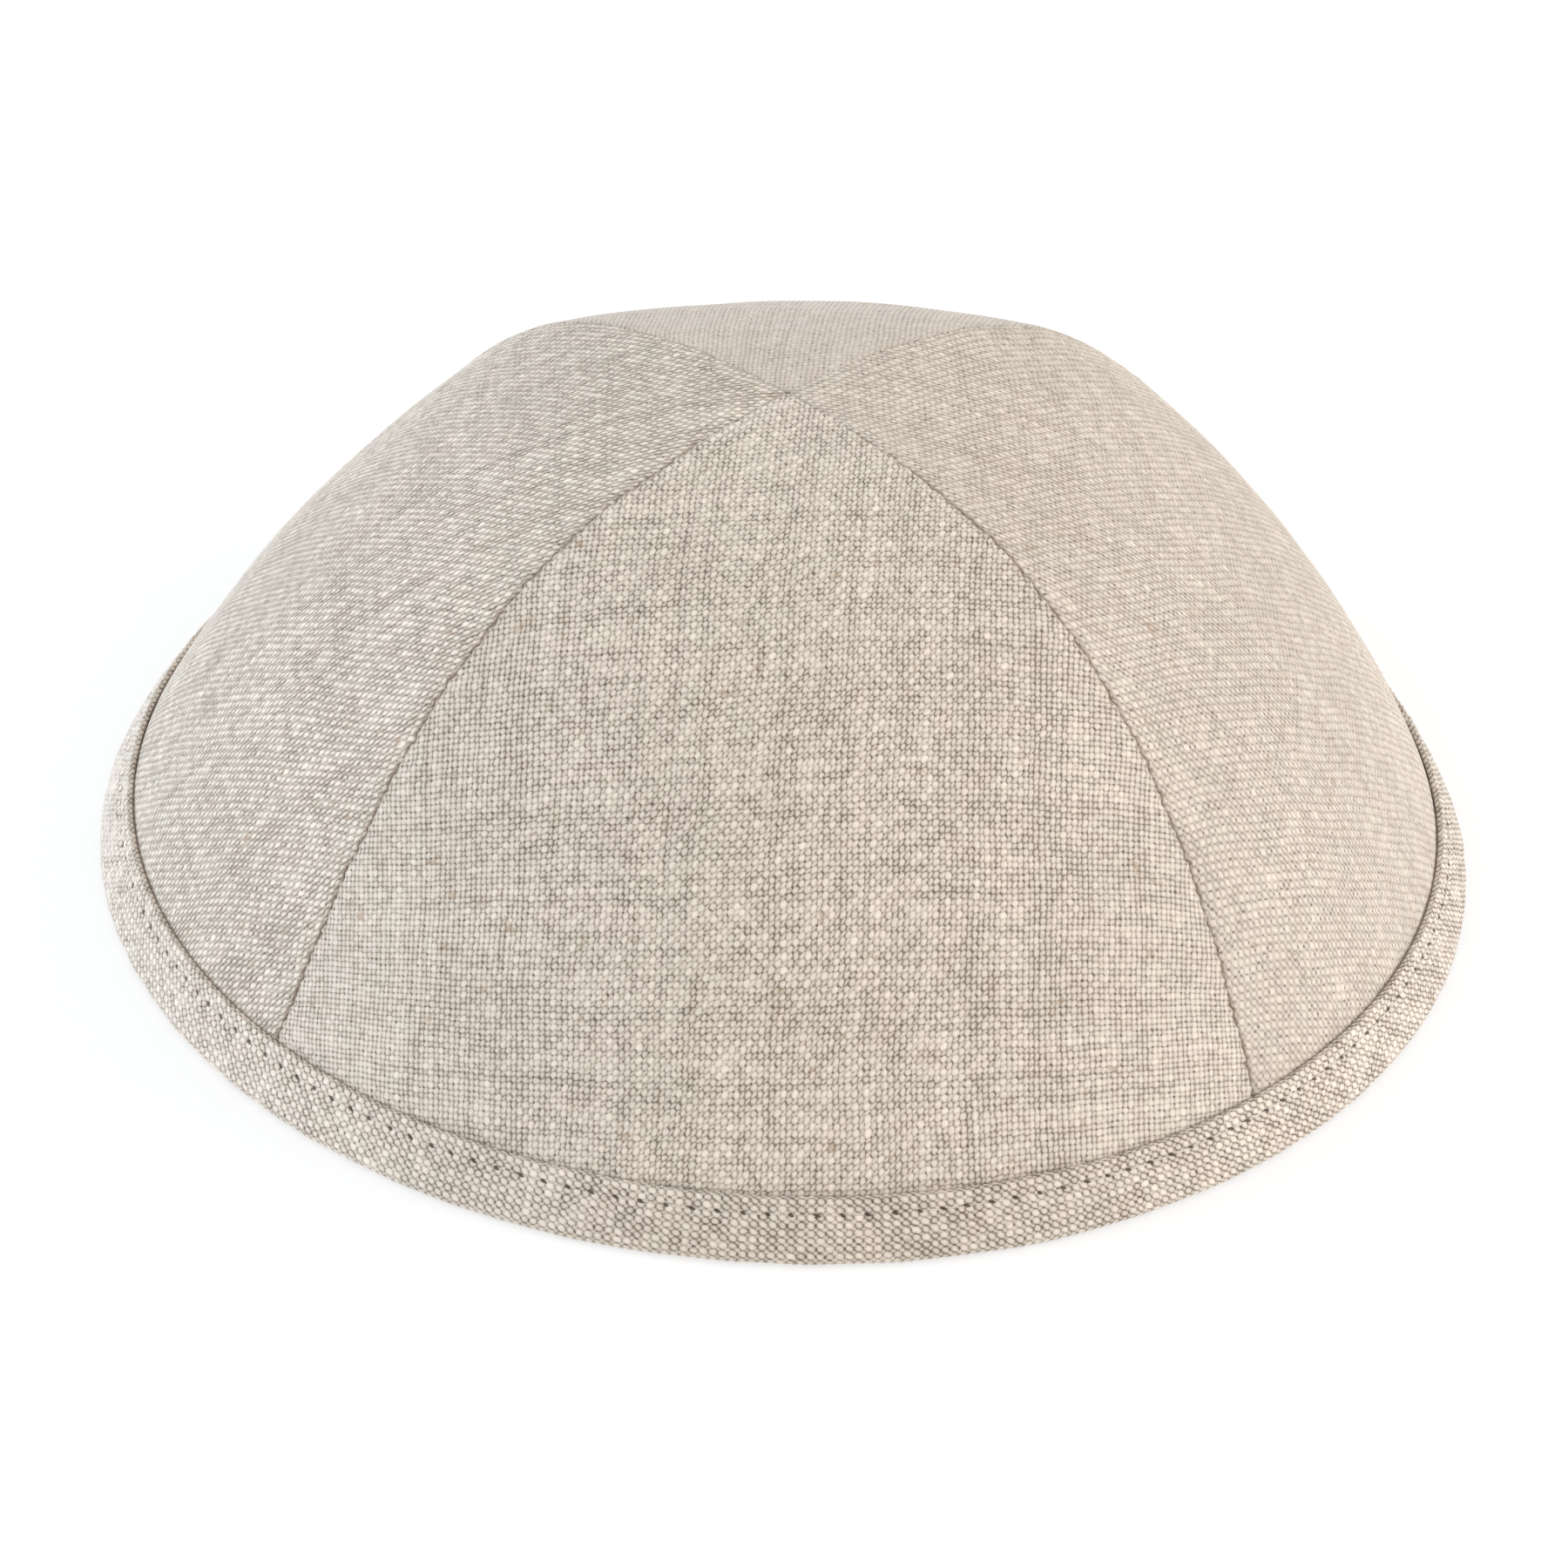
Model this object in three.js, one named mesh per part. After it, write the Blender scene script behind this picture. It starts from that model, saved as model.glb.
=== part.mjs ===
// Four-panel linen skullcap, in millimetres with +Z up.
// The origin is the centre of the rim's resting face, and the front panel faces -Y.
import * as THREE from 'three';

// Driving sizes of the finished cap. rimRadius is to the widest point of the fold round the rim.
const capHeight = 64.4;
const rimRadius = 85.2;
const bandHeight = 7.6;
const bandSlope = THREE.MathUtils.degToRad(63.5);

// Thickness of the sewn layers, and the clearance between one sewn piece and the next.
const panelWall = 1.2;
const bandWall = 1.0;
const sewingGap = 0.3;

// Rounding of the band: its two folded upper edges, and its fold round the rim.
const edgeRounding = 0.45;
const foldRounding = 1.0;

// The crown's two outlines run from the apex to the top of the band, each as one curve.
// topPull is how far the curve runs level from the apex, and lowerRadius and lowerHeight place
// the point that its lower end aims at.
const outlines = {
  panelMiddle: { topPull: 33.5, lowerRadius: 63.3, lowerHeight: 43.6 },
  seam: { topPull: 40.5, lowerRadius: 60.7, lowerHeight: 51.8 },
};

// How the soft crown sits off true above its band: turned, leaning and drawn out on one diagonal.
const crownTwist = THREE.MathUtils.degToRad(3.4);
const crownLean = new THREE.Vector2(-2.0, 0);
const diagonalStretch = 0.046;

// One row for each panel: its name and the way that it faces, as a turn about Z from +X.
const panels = [
  { name: 'crown_panel_front', facing: -90 },
  { name: 'crown_panel_right', facing: 0 },
  { name: 'crown_panel_back', facing: 90 },
  { name: 'crown_panel_left', facing: 180 },
];

// Fineness of the faceted surfaces.
const panelColumns = 16;
const crownRows = 18;
const arcDivisions = 2;
const tipRadius = 1.0;

const seamAngle = Math.PI / panels.length;
const linen = { roughness: 0.95, metalness: 0 };

// The radius at which the band's outer face would meet the surface below if its fold were sharp.
const sharpRimRadius = rimRadius - foldRounding + foldRounding / Math.tan(bandSlope / 2);

// A point of the band's section at a given height, the given depth under the band's outer face.
function sectionPoint(height, depth) {
  const radius = sharpRimRadius - (height * Math.cos(bandSlope) + depth) / Math.sin(bandSlope);
  return new THREE.Vector2(radius, height);
}

// The panels' outer face lies under the band's outer layer and one clearance, and their raw edge,
// which is cut square to the slope, stays one clearance above the floor of the band's fold.
const panelDepth = bandWall + sewingGap;
const panelFoot = bandWall + sewingGap + panelWall * Math.cos(bandSlope);

// The outline of the crown's outer face in one upright plane, as radius and height.
function crownOutline({ topPull, lowerRadius, lowerHeight }) {
  return new THREE.CubicBezierCurve(
    new THREE.Vector2(0, capHeight),
    new THREE.Vector2(topPull, capHeight),
    new THREE.Vector2(lowerRadius, lowerHeight),
    sectionPoint(bandHeight, panelDepth),
  );
}

const middleOutline = crownOutline(outlines.panelMiddle);
const seamOutline = crownOutline(outlines.seam);

// Outer-face points of the two outlines at one level, from 0 at the apex to 1 at the band.
// Past 1 the cloth runs straight down inside the band to its raw edge.
function levelPoints(level) {
  if (level <= 1) {
    return { middle: middleOutline.getPoint(level), seam: seamOutline.getPoint(level) };
  }
  const height = THREE.MathUtils.lerp(bandHeight, panelFoot, level - 1);
  const foot = sectionPoint(height, panelDepth);
  return { middle: foot, seam: foot };
}

// A point of a panel that faces +X. Across the panel the cloth bows in one arc, from seam to seam,
// through the panel's middle.
function panelPoint(level, angle) {
  const { middle, seam } = levelPoints(level);
  const chordX = seam.x * Math.cos(seamAngle);
  const halfChord = seam.x * Math.sin(seamAngle);
  const bow = middle.x - chordX;
  const arcRadius = (halfChord ** 2 + bow ** 2) / (2 * bow);
  const centreX = middle.x - arcRadius;
  const along = centreX * Math.cos(angle);
  const radius = along + Math.sqrt(arcRadius ** 2 - centreX ** 2 + along ** 2);
  const share = (radius * Math.cos(angle) - chordX) / bow;
  const height = THREE.MathUtils.lerp(seam.y, middle.y, share);
  return new THREE.Vector3(radius * Math.cos(angle), radius * Math.sin(angle), height);
}

// The inner-face point under an outer one, in the same upright plane through the cap's axis.
function innerPoint(level, angle) {
  const step = 1e-3;
  const here = panelPoint(level, angle);
  const down = panelPoint(level + step, angle).sub(panelPoint(level - step, angle));
  const across = panelPoint(level, angle + step).sub(panelPoint(level, angle - step));
  const normal = down.cross(across).normalize();
  const radial = new THREE.Vector3(Math.cos(angle), Math.sin(angle), 0);
  const inPlane = radial.multiplyScalar(normal.dot(radial)).setZ(normal.z).normalize();
  return here.addScaledVector(inPlane, -panelWall / normal.dot(inPlane));
}

// Turns, leans and stretches the crown above its band.
function settleCrown(point) {
  const rise = Math.max(0, (point.z - bandHeight) / (capHeight - bandHeight));
  const angle = Math.atan2(point.y, point.x);
  const stretch = 1 + diagonalStretch * rise * Math.sin(2 * angle);
  const radius = Math.hypot(point.x, point.y) * stretch;
  const turned = angle + crownTwist * rise;
  const lean = rise ** 2;
  point.x = radius * Math.cos(turned) + crownLean.x * lean;
  point.y = radius * Math.sin(turned) + crownLean.y * lean;
  return point;
}

// Skins a row of section loops into one closed body. Points k and n - 1 - k of a loop lie on
// opposite faces of the wall, so the two ends close with a strip between the faces.
function loftShell(loops) {
  const count = loops[0].length;
  const positions = loops.flat().flatMap((point) => point.toArray());
  const indices = [];
  const quad = (a, b, c, d) => indices.push(a, b, c, a, c, d);
  for (let row = 0; row + 1 < loops.length; row += 1) {
    for (let k = 0; k < count; k += 1) {
      const next = (k + 1) % count;
      const above = row * count;
      const below = above + count;
      quad(above + k, below + k, below + next, above + next);
    }
  }
  const last = (loops.length - 1) * count;
  for (let k = 0; k < count / 2 - 1; k += 1) {
    const mate = count - 1 - k;
    quad(k, k + 1, mate - 1, mate);
    quad(last + k, last + mate, last + mate - 1, last + k + 1);
  }
  const geometry = new THREE.BufferGeometry();
  geometry.setAttribute('position', new THREE.Float32BufferAttribute(positions, 3));
  geometry.setIndex(indices);
  geometry.computeVertexNormals();
  return geometry;
}

// The levels of the section loops, from the tip of a panel to its raw edge inside the band.
function panelLevels() {
  const tipLevel = tipRadius / (3 * outlines.seam.topPull);
  const levels = [];
  for (let row = 0; row <= crownRows; row += 1) {
    levels.push(THREE.MathUtils.lerp(tipLevel, 1, row / crownRows));
  }
  return [...levels, 2];
}

// One crown panel: a curved triangle of cloth whose two long edges stop half a clearance short of
// the seam planes.
function crownPanel({ name, facing }) {
  const turn = THREE.MathUtils.degToRad(facing);
  const zAxis = new THREE.Vector3(0, 0, 1);
  const loops = panelLevels().map((level) => {
    const seamRadius = levelPoints(level).seam.x;
    const edgeAngle = seamAngle - Math.asin(sewingGap / 2 / seamRadius);
    const angles = Array.from({ length: panelColumns + 1 }, (_, column) =>
      THREE.MathUtils.lerp(-edgeAngle, edgeAngle, column / panelColumns));
    const outer = angles.map((angle) => panelPoint(level, angle));
    const inner = angles.map((angle) => innerPoint(level, angle)).reverse();
    return [...outer, ...inner].map((point) => settleCrown(point.applyAxisAngle(zAxis, turn)));
  });
  const material = new THREE.MeshStandardMaterial({ ...linen, color: 0xcdc1b2 });
  const mesh = new THREE.Mesh(loftShell(loops), material);
  mesh.name = name;
  return mesh;
}

// Adds a corner to a path, rounded by an arc of the given radius, on the way from one point to
// another.
function roundedCorner(path, from, corner, to, rounding) {
  const back = from.clone().sub(corner).normalize();
  const onward = to.clone().sub(corner).normalize();
  const half = Math.acos(THREE.MathUtils.clamp(back.dot(onward), -1, 1)) / 2;
  const reach = rounding / Math.tan(half);
  const start = corner.clone().addScaledVector(back, reach);
  const end = corner.clone().addScaledVector(onward, reach);
  const centre = corner.clone()
    .addScaledVector(back.clone().add(onward).normalize(), rounding / Math.sin(half));
  const angleOf = (point) => Math.atan2(point.y - centre.y, point.x - centre.x);
  const clockwise = back.cross(onward) > 0;
  path.lineTo(start.x, start.y);
  path.absarc(centre.x, centre.y, rounding, angleOf(start), angleOf(end), clockwise);
}

// The band's section: one layer outside the panels, a fold under their raw edge, and one layer
// inside. The corners run anticlockwise, each with its rounding.
function bandSection() {
  const innerDepth = panelDepth + panelWall + sewingGap;
  const fullDepth = innerDepth + bandWall;
  const intoSlope = new THREE.Vector2(-Math.sin(bandSlope), -Math.cos(bandSlope));
  const top = (depth) => sectionPoint(bandHeight, 0).addScaledVector(intoSlope, depth);
  const corners = [
    { at: sectionPoint(0, fullDepth), rounding: foldRounding },
    { at: sectionPoint(0, 0), rounding: foldRounding },
    { at: top(0), rounding: edgeRounding },
    { at: top(bandWall), rounding: edgeRounding },
    { at: sectionPoint(bandWall, bandWall), rounding: 0 },
    { at: sectionPoint(bandWall, innerDepth), rounding: 0 },
    { at: top(innerDepth), rounding: edgeRounding },
    { at: top(fullDepth), rounding: edgeRounding },
  ];
  const path = new THREE.Path();
  const start = corners[0].at.clone().lerp(corners[1].at, 0.5);
  path.moveTo(start.x, start.y);
  for (let k = 1; k <= corners.length; k += 1) {
    const before = corners[k - 1].at;
    const { at, rounding } = corners[k % corners.length];
    const after = corners[(k + 1) % corners.length].at;
    if (rounding > 0) {
      roundedCorner(path, before, at, after, rounding);
    } else {
      path.lineTo(at.x, at.y);
    }
  }
  path.lineTo(start.x, start.y);
  return path.getPoints(arcDivisions);
}

// The rim band: one strip of cloth folded over the panels' raw edge all the way round.
function rimBand() {
  const geometry = new THREE.LatheGeometry(bandSection(), panelColumns * panels.length);
  geometry.rotateX(Math.PI / 2);
  const material = new THREE.MeshStandardMaterial({ ...linen, color: 0xc8baab });
  const mesh = new THREE.Mesh(geometry, material);
  mesh.name = 'rim_band';
  return mesh;
}

const skullcap = new THREE.Group();
skullcap.add(...panels.map(crownPanel), rimBand());

export default skullcap;
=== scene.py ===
"""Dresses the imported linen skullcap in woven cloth, and sets its camera, floor and light.

The crown panels and the rim band are woven meshes: their vertices lie on the crossings and gaps of
the cloth's own threads. Each replaces its plain CAD solid and keeps that solid's shape.
"""

import logging
import math
from dataclasses import dataclass, field
from enum import Enum

import bmesh
import bpy
import numpy as np
from mathutils import Matrix, Vector


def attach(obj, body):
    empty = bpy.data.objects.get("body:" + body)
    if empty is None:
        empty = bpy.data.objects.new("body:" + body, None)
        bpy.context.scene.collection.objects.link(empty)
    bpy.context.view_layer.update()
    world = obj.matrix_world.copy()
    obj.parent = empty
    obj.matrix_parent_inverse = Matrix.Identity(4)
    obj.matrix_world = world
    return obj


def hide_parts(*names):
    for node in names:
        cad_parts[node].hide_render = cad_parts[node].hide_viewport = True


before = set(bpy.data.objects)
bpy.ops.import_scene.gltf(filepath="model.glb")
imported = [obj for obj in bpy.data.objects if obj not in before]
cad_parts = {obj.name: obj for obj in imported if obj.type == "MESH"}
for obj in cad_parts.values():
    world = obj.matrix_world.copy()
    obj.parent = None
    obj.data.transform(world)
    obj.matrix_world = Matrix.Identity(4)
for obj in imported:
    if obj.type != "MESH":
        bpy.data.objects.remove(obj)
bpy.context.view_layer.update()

log = logging.getLogger("skullcap")

Array = np.ndarray
Socket = bpy.types.NodeSocket
Piece = bpy.types.Object
BMesh = bmesh.types.BMesh

MM = 0.001
BODY = "root"
THREADS_MAP = "threads"
STITCH_MAP = "stitching"
LAYOUT_MAP = "OFBake"
EVENNESS = "evenness"
SOFTNESS = "softness"
SEAM_SHADE = "seam_shade"
LEAN = "lean"
WARP_FACED = "warp_faced"


class Facing(Enum):
    """The way that a crown panel faces, in degrees about Z from +X."""

    FRONT = -90
    RIGHT = 0
    BACK = 90
    LEFT = 180


class Colour(Enum):
    """Linear colours of the cloth, its thread and the studio, with the painted shade of the weave's gaps, the
    holes and the seams.
    """

    FLOAT_TOP = (0.65, 0.577, 0.502, 1.0)
    # The float-side and gap colours are the thread's colour with painted shade, darker the lower the cloth
    # lies.
    FLOAT_SIDE_SHADE = (0.405, 0.343, 0.285, 1.0)
    GAP = (0.21, 0.165, 0.125, 1.0)
    AWAY = (0.455, 0.393, 0.335, 1.0)
    # Painted shade inside needle holes and pin-holes.
    HOLE_SHADE = (0.07, 0.048, 0.034, 1.0)
    # Painted shade in the seams' grooves.
    SEAM = (0.235, 0.175, 0.13, 1.0)
    FLECK = (0.30, 0.20, 0.12, 1.0)
    ROSE = (1.014, 0.992, 0.988, 1.0)
    SAGE = (0.993, 1.0, 0.988, 1.0)
    THREAD = (0.58, 0.52, 0.445, 1.0)
    FLOOR = (0.38, 0.38, 0.38, 1.0)
    COOL_LIGHT = (0.62, 0.81, 1.0)
    WHITE_LIGHT = (0.96, 0.975, 1.0)
    SKY = (1.0, 0.995, 0.985, 1.0)


class Seed(Enum):
    """Seeds of the random values in the materials."""

    FLOAT = 1.1
    NEEDLE = 2.2
    WARP_THREAD = 3.3
    CORNER = 5.5
    WEFT_THREAD = 7.7


@dataclass(frozen=True)
class CapShape:
    """The finished cap's sizes in metres, the same as in its CAD source."""

    height: float = 64.4 * MM
    rim_radius: float = 85.2 * MM
    band_height: float = 7.6 * MM
    band_slope: float = math.radians(63.5)
    band_wall: float = 1.0 * MM
    panel_wall: float = 1.2 * MM
    sewing_gap: float = 0.3 * MM
    fold_rounding: float = 1.0 * MM
    middle_pull: float = 33.5 * MM
    middle_aim: tuple[float, float] = (63.3 * MM, 43.6 * MM)
    seam_pull: float = 40.5 * MM
    seam_aim: tuple[float, float] = (60.7 * MM, 51.8 * MM)
    twist: float = math.radians(3.4)
    lean: float = -2.0 * MM
    stretch: float = 0.046
    seam_angle: float = math.pi / 4
    tip_level: float = 0.012
    slope_step: float = 2e-3

    def section_point(self, height: Array, depth: Array) -> tuple[Array, Array]:
        """Finds points of the band's section.

        Args:
            height: Height above the resting plane.
            depth: Depth under the band's outer face.

        Returns:
            Radius and height of each point.
        """
        fold = self.fold_rounding
        sharp = self.rim_radius - fold + fold / math.tan(self.band_slope / 2)
        radius = sharp - (height * math.cos(self.band_slope) + depth) / math.sin(self.band_slope)
        return radius, height + 0.0 * radius

    def outline(self, level: Array, pull: float,
                aim: tuple[float, float]) -> tuple[Array, Array]:
        """Finds points of one upright outline of the crown.

        Args:
            level: 0 at the apex, 1 at the band, 2 at the panel's raw edge.
            pull: How far the curve runs level from the apex.
            aim: Radius and height that its lower end aims at.

        Returns:
            Radius and height of each point.
        """
        depth = self.band_wall + self.sewing_gap
        foot = depth + self.panel_wall * math.cos(self.band_slope)
        t = np.clip(level, 0.0, 1.0)
        below = np.maximum(level - 1.0, 0.0)
        end = self.section_point(self.band_height, depth)
        share = ((1 - t) ** 3, 3 * (1 - t) ** 2 * t, 3 * (1 - t) * t * t, t ** 3)
        radius = share[1] * pull + share[2] * aim[0] + share[3] * end[0]
        height = (share[0] + share[1]) * self.height + share[2] * aim[1] + share[3] * end[1]
        cone = self.section_point(self.band_height + (foot - self.band_height) * below, depth)
        return np.where(below > 0, cone[0], radius), np.where(below > 0, cone[1], height)

    def seam_radius(self, level: Array) -> Array:
        """Returns the crown's radius on a seam at each level."""
        return self.outline(level, self.seam_pull, self.seam_aim)[0]

    def surface(self, level: Array, share: Array) -> Array:
        """Finds points of the outer face of a panel that faces +X.

        Args:
            level: 0 at the apex, 1 at the band, 2 at the raw edge.
            share: -1 on one seam, 0 on the panel's middle, 1 on the other seam.

        Returns:
            Points, with their coordinates on the last axis.
        """
        level = np.maximum(level, 1e-5)
        middle = self.outline(level, self.middle_pull, self.middle_aim)
        seam = self.outline(level, self.seam_pull, self.seam_aim)
        chord = seam[0] * math.cos(self.seam_angle)
        half = seam[0] * math.sin(self.seam_angle)
        bow = middle[0] - chord
        arc = (half ** 2 + bow ** 2) / (2 * bow)
        centre = middle[0] - arc
        angle = share * self.seam_angle
        along = centre * np.cos(angle)
        radius = along + np.sqrt(arc ** 2 - centre ** 2 + along ** 2)
        part = (radius * np.cos(angle) - chord) / bow
        height = seam[1] + (middle[1] - seam[1]) * part
        return np.stack([radius * np.cos(angle), radius * np.sin(angle), height], -1)

    def normals(self, level: Array, share: Array) -> Array:
        """Finds the outward unit normals of the panel's outer face.

        Args:
            level: As for surface.
            share: As for surface.

        Returns:
            Unit vectors on the last axis.
        """
        step = self.slope_step
        level = np.maximum(level, self.tip_level)
        down = self.surface(level + step, share) - self.surface(level - step, share)
        across = self.surface(level, share + step) - self.surface(level, share - step)
        normal = np.cross(down, across)
        return normal / np.linalg.norm(normal, axis=-1, keepdims=True)

    def settle(self, points: Array) -> Array:
        """Turns, leans and stretches the crown above its band, as the soft cap stands.

        Args:
            points: Points of the true crown.

        Returns:
            The settled points.
        """
        rise = np.maximum(0.0, (points[:, 2] - self.band_height) / (self.height - self.band_height))
        angle = np.arctan2(points[:, 1], points[:, 0])
        radius = np.hypot(points[:, 0], points[:, 1]) * (1 + self.stretch * rise * np.sin(2 * angle))
        angle = angle + self.twist * rise
        x = radius * np.cos(angle) + self.lean * rise ** 2
        return np.stack([x, radius * np.sin(angle), points[:, 2]], -1)


@dataclass(frozen=True)
class Weave:
    """A plain weave's relief, in metres: its warp floats stand proud of its weft floats."""

    warp_float: float = 0.07 * MM
    weft_float: float = -0.01 * MM
    gap: float = 0.06 * MM

    def relief(self, warp: Array, weft: Array, evenness: Array, seed: int) -> Array:
        """Finds the cloth's relief at half-thread points.

        Args:
            warp: Warp counts, in steps of a half.
            weft: Weft counts, in steps of a half.
            evenness: 0 where the warp floats stand proud, 1 where both sets lie level.
            seed: Seed of the floats' small differences.

        Returns:
            Heights over the cloth's middle surface.
        """
        half_warp = np.rint(2 * warp).astype(int)
        half_weft = np.rint(2 * weft).astype(int)
        crossing = (half_warp % 2 == 1) & (half_weft % 2 == 1)
        corner = (half_warp % 2 == 0) & (half_weft % 2 == 0)
        over = ((half_warp - 1) // 2 + (half_weft - 1) // 2) % 2 == 0
        vary = np.random.default_rng(seed).uniform(0.75, 1.25, warp.shape)
        level = (self.warp_float + self.weft_float) / 2
        warp_height = self.warp_float + (level - self.warp_float) * evenness
        weft_height = self.weft_float + (level - self.weft_float) * evenness
        height = np.where(over, warp_height, weft_height) * vary
        return np.where(crossing, height, np.where(corner, -self.gap, 0.0))


@dataclass(frozen=True)
class Grain:
    """How a panel's threads lie on its flat cut, where x is across it and y is down from the apex.

    A slant is sideways run for each metre along the thread's own way, at the apex. Bow, fan and
    crowd are how fast the slant and the pitch change, for each metre.
    """

    warp_pitch: float
    weft_pitch: float
    warp_slant: float = 0.0
    warp_bow: float = 0.0
    warp_fan: float = 0.0
    warp_crowd: float = 0.0
    weft_slant: float = 0.0
    weft_bow: float = 0.0
    weft_fan: float = 0.0
    weft_crowd: float = 0.0
    seen_side: int = 0
    turn_over: float = 8.0 * MM
    even_from: float = 14.0 * MM
    even_to: float = 54.0 * MM
    even_top: float = 0.0
    even_fade: float = 16.0 * MM
    even_soft: float = 0.2
    soft_from: float = 20.0 * MM
    soft_run: float = 70.0 * MM
    soft_top: float = 0.0
    soft_foot: float = 0.0
    seam_lines: tuple[float, float] = (1.0, 1.0)
    float_lean: float = 0.0
    warp_faced: float = 0.0
    across_limit: float = 90.0 * MM
    down_limits: tuple[float, float] = (-20.0 * MM, 140.0 * MM)

    def seen(self, x: Array) -> tuple[Array, Array]:
        """Limits the changes to the side of the panel that the photo shows.

        Args:
            x: Places across the panel.

        Returns:
            The limited places, and how fast they change with x.
        """
        if self.seen_side == 0:
            return x, np.ones_like(x)
        away = -self.seen_side * x
        root = np.sqrt(away ** 2 + self.turn_over ** 2)
        return -self.seen_side * 0.5 * (away - root + self.turn_over), 0.5 * (1 - away / root)

    def evenness(self, x: Array, y: Array) -> Array:
        """Finds how level the two thread sets lie.

        Args:
            x: Places across the panel.
            y: Places down it.

        Returns:
            0 where the warp floats stand proud, 1 where both sets lie level.
        """
        side = np.clip((np.abs(x) - self.even_from) / (self.even_to - self.even_from), 0.0, 1.0)
        top = np.clip((self.even_top - y) / self.even_fade, 0.0, 1.0)
        return np.maximum(side, top)

    def softness(self, x: Array, y: Array) -> Array:
        """Finds how faint the weave looks.

        Args:
            x: Places across the panel.
            y: Places down it.

        Returns:
            0 where it is crisp, 1 where none shows.
        """
        down = np.clip((y - self.soft_from) / self.soft_run, 0.0, 1.0)
        soft = self.soft_top + (self.soft_foot - self.soft_top) * down
        return soft + self.even_soft * self.evenness(x, y)

    def counts(self, x: Array, y: Array) -> tuple[Array, Array]:
        """Counts the threads at places on the flat cut.

        Args:
            x: Places across the panel.
            y: Places down it.

        Returns:
            Warp and weft counts.
        """
        s, _ = self.seen(x)
        warp = x + self.warp_slant * y + self.warp_fan * s * y
        warp = warp + self.warp_bow * y * y / 2 + self.warp_crowd * s * s / 2
        weft = y + self.weft_slant * x + self.weft_fan * s * y
        weft = weft + self.weft_bow * s * s / 2 + self.weft_crowd * y * y / 2
        return warp / self.warp_pitch, weft / self.weft_pitch

    def find(self, warp: Array, weft: Array) -> tuple[Array, Array]:
        """Finds the places of thread counts on the flat cut.

        Args:
            warp: Warp counts.
            weft: Weft counts.

        Returns:
            Places across the panel and down it.
        """
        x = warp * self.warp_pitch
        y = weft * self.weft_pitch
        for _ in range(12):
            s, rate = self.seen(x)
            got_warp, got_weft = self.counts(x, y)
            warp_x = (1 + self.warp_fan * rate * y + self.warp_crowd * s * rate) / self.warp_pitch
            warp_y = (self.warp_slant + self.warp_fan * s + self.warp_bow * y) / self.warp_pitch
            weft_x = (self.weft_slant + self.weft_fan * rate * y + self.weft_bow * s * rate) / self.weft_pitch
            weft_y = (1 + self.weft_fan * s + self.weft_crowd * y) / self.weft_pitch
            scale = warp_x * weft_y - warp_y * weft_x
            off_warp = warp - got_warp
            off_weft = weft - got_weft
            x = x + (off_warp * weft_y - off_weft * warp_y) / scale
            y = y + (off_weft * warp_x - off_warp * weft_x) / scale
            x = np.clip(x, -self.across_limit, self.across_limit)
            y = np.clip(y, *self.down_limits)
        return x, y


PANEL_GRAIN = {
    Facing.FRONT: Grain(
        0.638 * MM, 0.737 * MM,
        warp_slant=0.141, warp_bow=-2.36, warp_fan=-0.62, warp_crowd=-1.35,
        weft_slant=0.026, weft_bow=0.57, weft_fan=0.2, weft_crowd=-0.21,
    ),
    Facing.RIGHT: Grain(
        0.663 * MM, 0.722 * MM,
        warp_slant=0.07, warp_bow=-0.47, warp_fan=2.2, warp_crowd=5.8,
        weft_slant=0.106, weft_bow=6.8, weft_fan=2.56, weft_crowd=0.32,
        seen_side=-1, even_from=50 * MM, even_to=100 * MM, soft_top=0.3, soft_foot=0.42,
        seam_lines=(1.0, 0.25), float_lean=-0.7, warp_faced=0.35,
    ),
    Facing.BACK: Grain(
        0.60 * MM, 0.75 * MM,
        warp_slant=0.08, warp_fan=-1.6, weft_slant=0.06,
        even_top=52 * MM, soft_top=0.36, soft_foot=0.15,
        seam_lines=(0.25, 0.25), float_lean=-0.4, warp_faced=0.3,
    ),
    Facing.LEFT: Grain(
        0.646 * MM, 0.702 * MM,
        warp_slant=-0.161, warp_bow=2.35, warp_fan=0.51, warp_crowd=0.1,
        weft_slant=0.087, weft_bow=2.16, weft_fan=-1.85, weft_crowd=-1.07,
        seen_side=1, even_from=70 * MM, even_to=120 * MM, soft_top=0.0, soft_foot=0.1,
        seam_lines=(0.25, 1.0), float_lean=-0.05, warp_faced=0.6,
    ),
}


class Waves:
    """A sum of long seeded waves over the cloth, for wander and softness."""

    def __init__(self, seed: int, shortest: float, longest: float, height: float, count: int = 7) -> None:
        """Draws the waves.

        Args:
            seed: Seed of the draw.
            shortest: Shortest wavelength.
            longest: Longest wavelength.
            height: Height of the whole sum, roughly.
            count: How many waves.
        """
        draw = np.random.default_rng(seed)
        length = np.exp(draw.uniform(math.log(shortest), math.log(longest), count))
        turn = draw.uniform(0, math.tau, count)
        self.x = np.cos(turn) * math.tau / length
        self.y = np.sin(turn) * math.tau / length
        self.phase = draw.uniform(0, math.tau, count)
        self.height = height / math.sqrt(count)

    def at(self, x: Array, y: Array) -> Array:
        """Returns the waves' sum at each point."""
        total = np.zeros(np.broadcast(x, y).shape)
        for a, b, phase in zip(self.x, self.y, self.phase):
            total = total + np.sin(a * x + b * y + phase)
        return self.height * total


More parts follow.
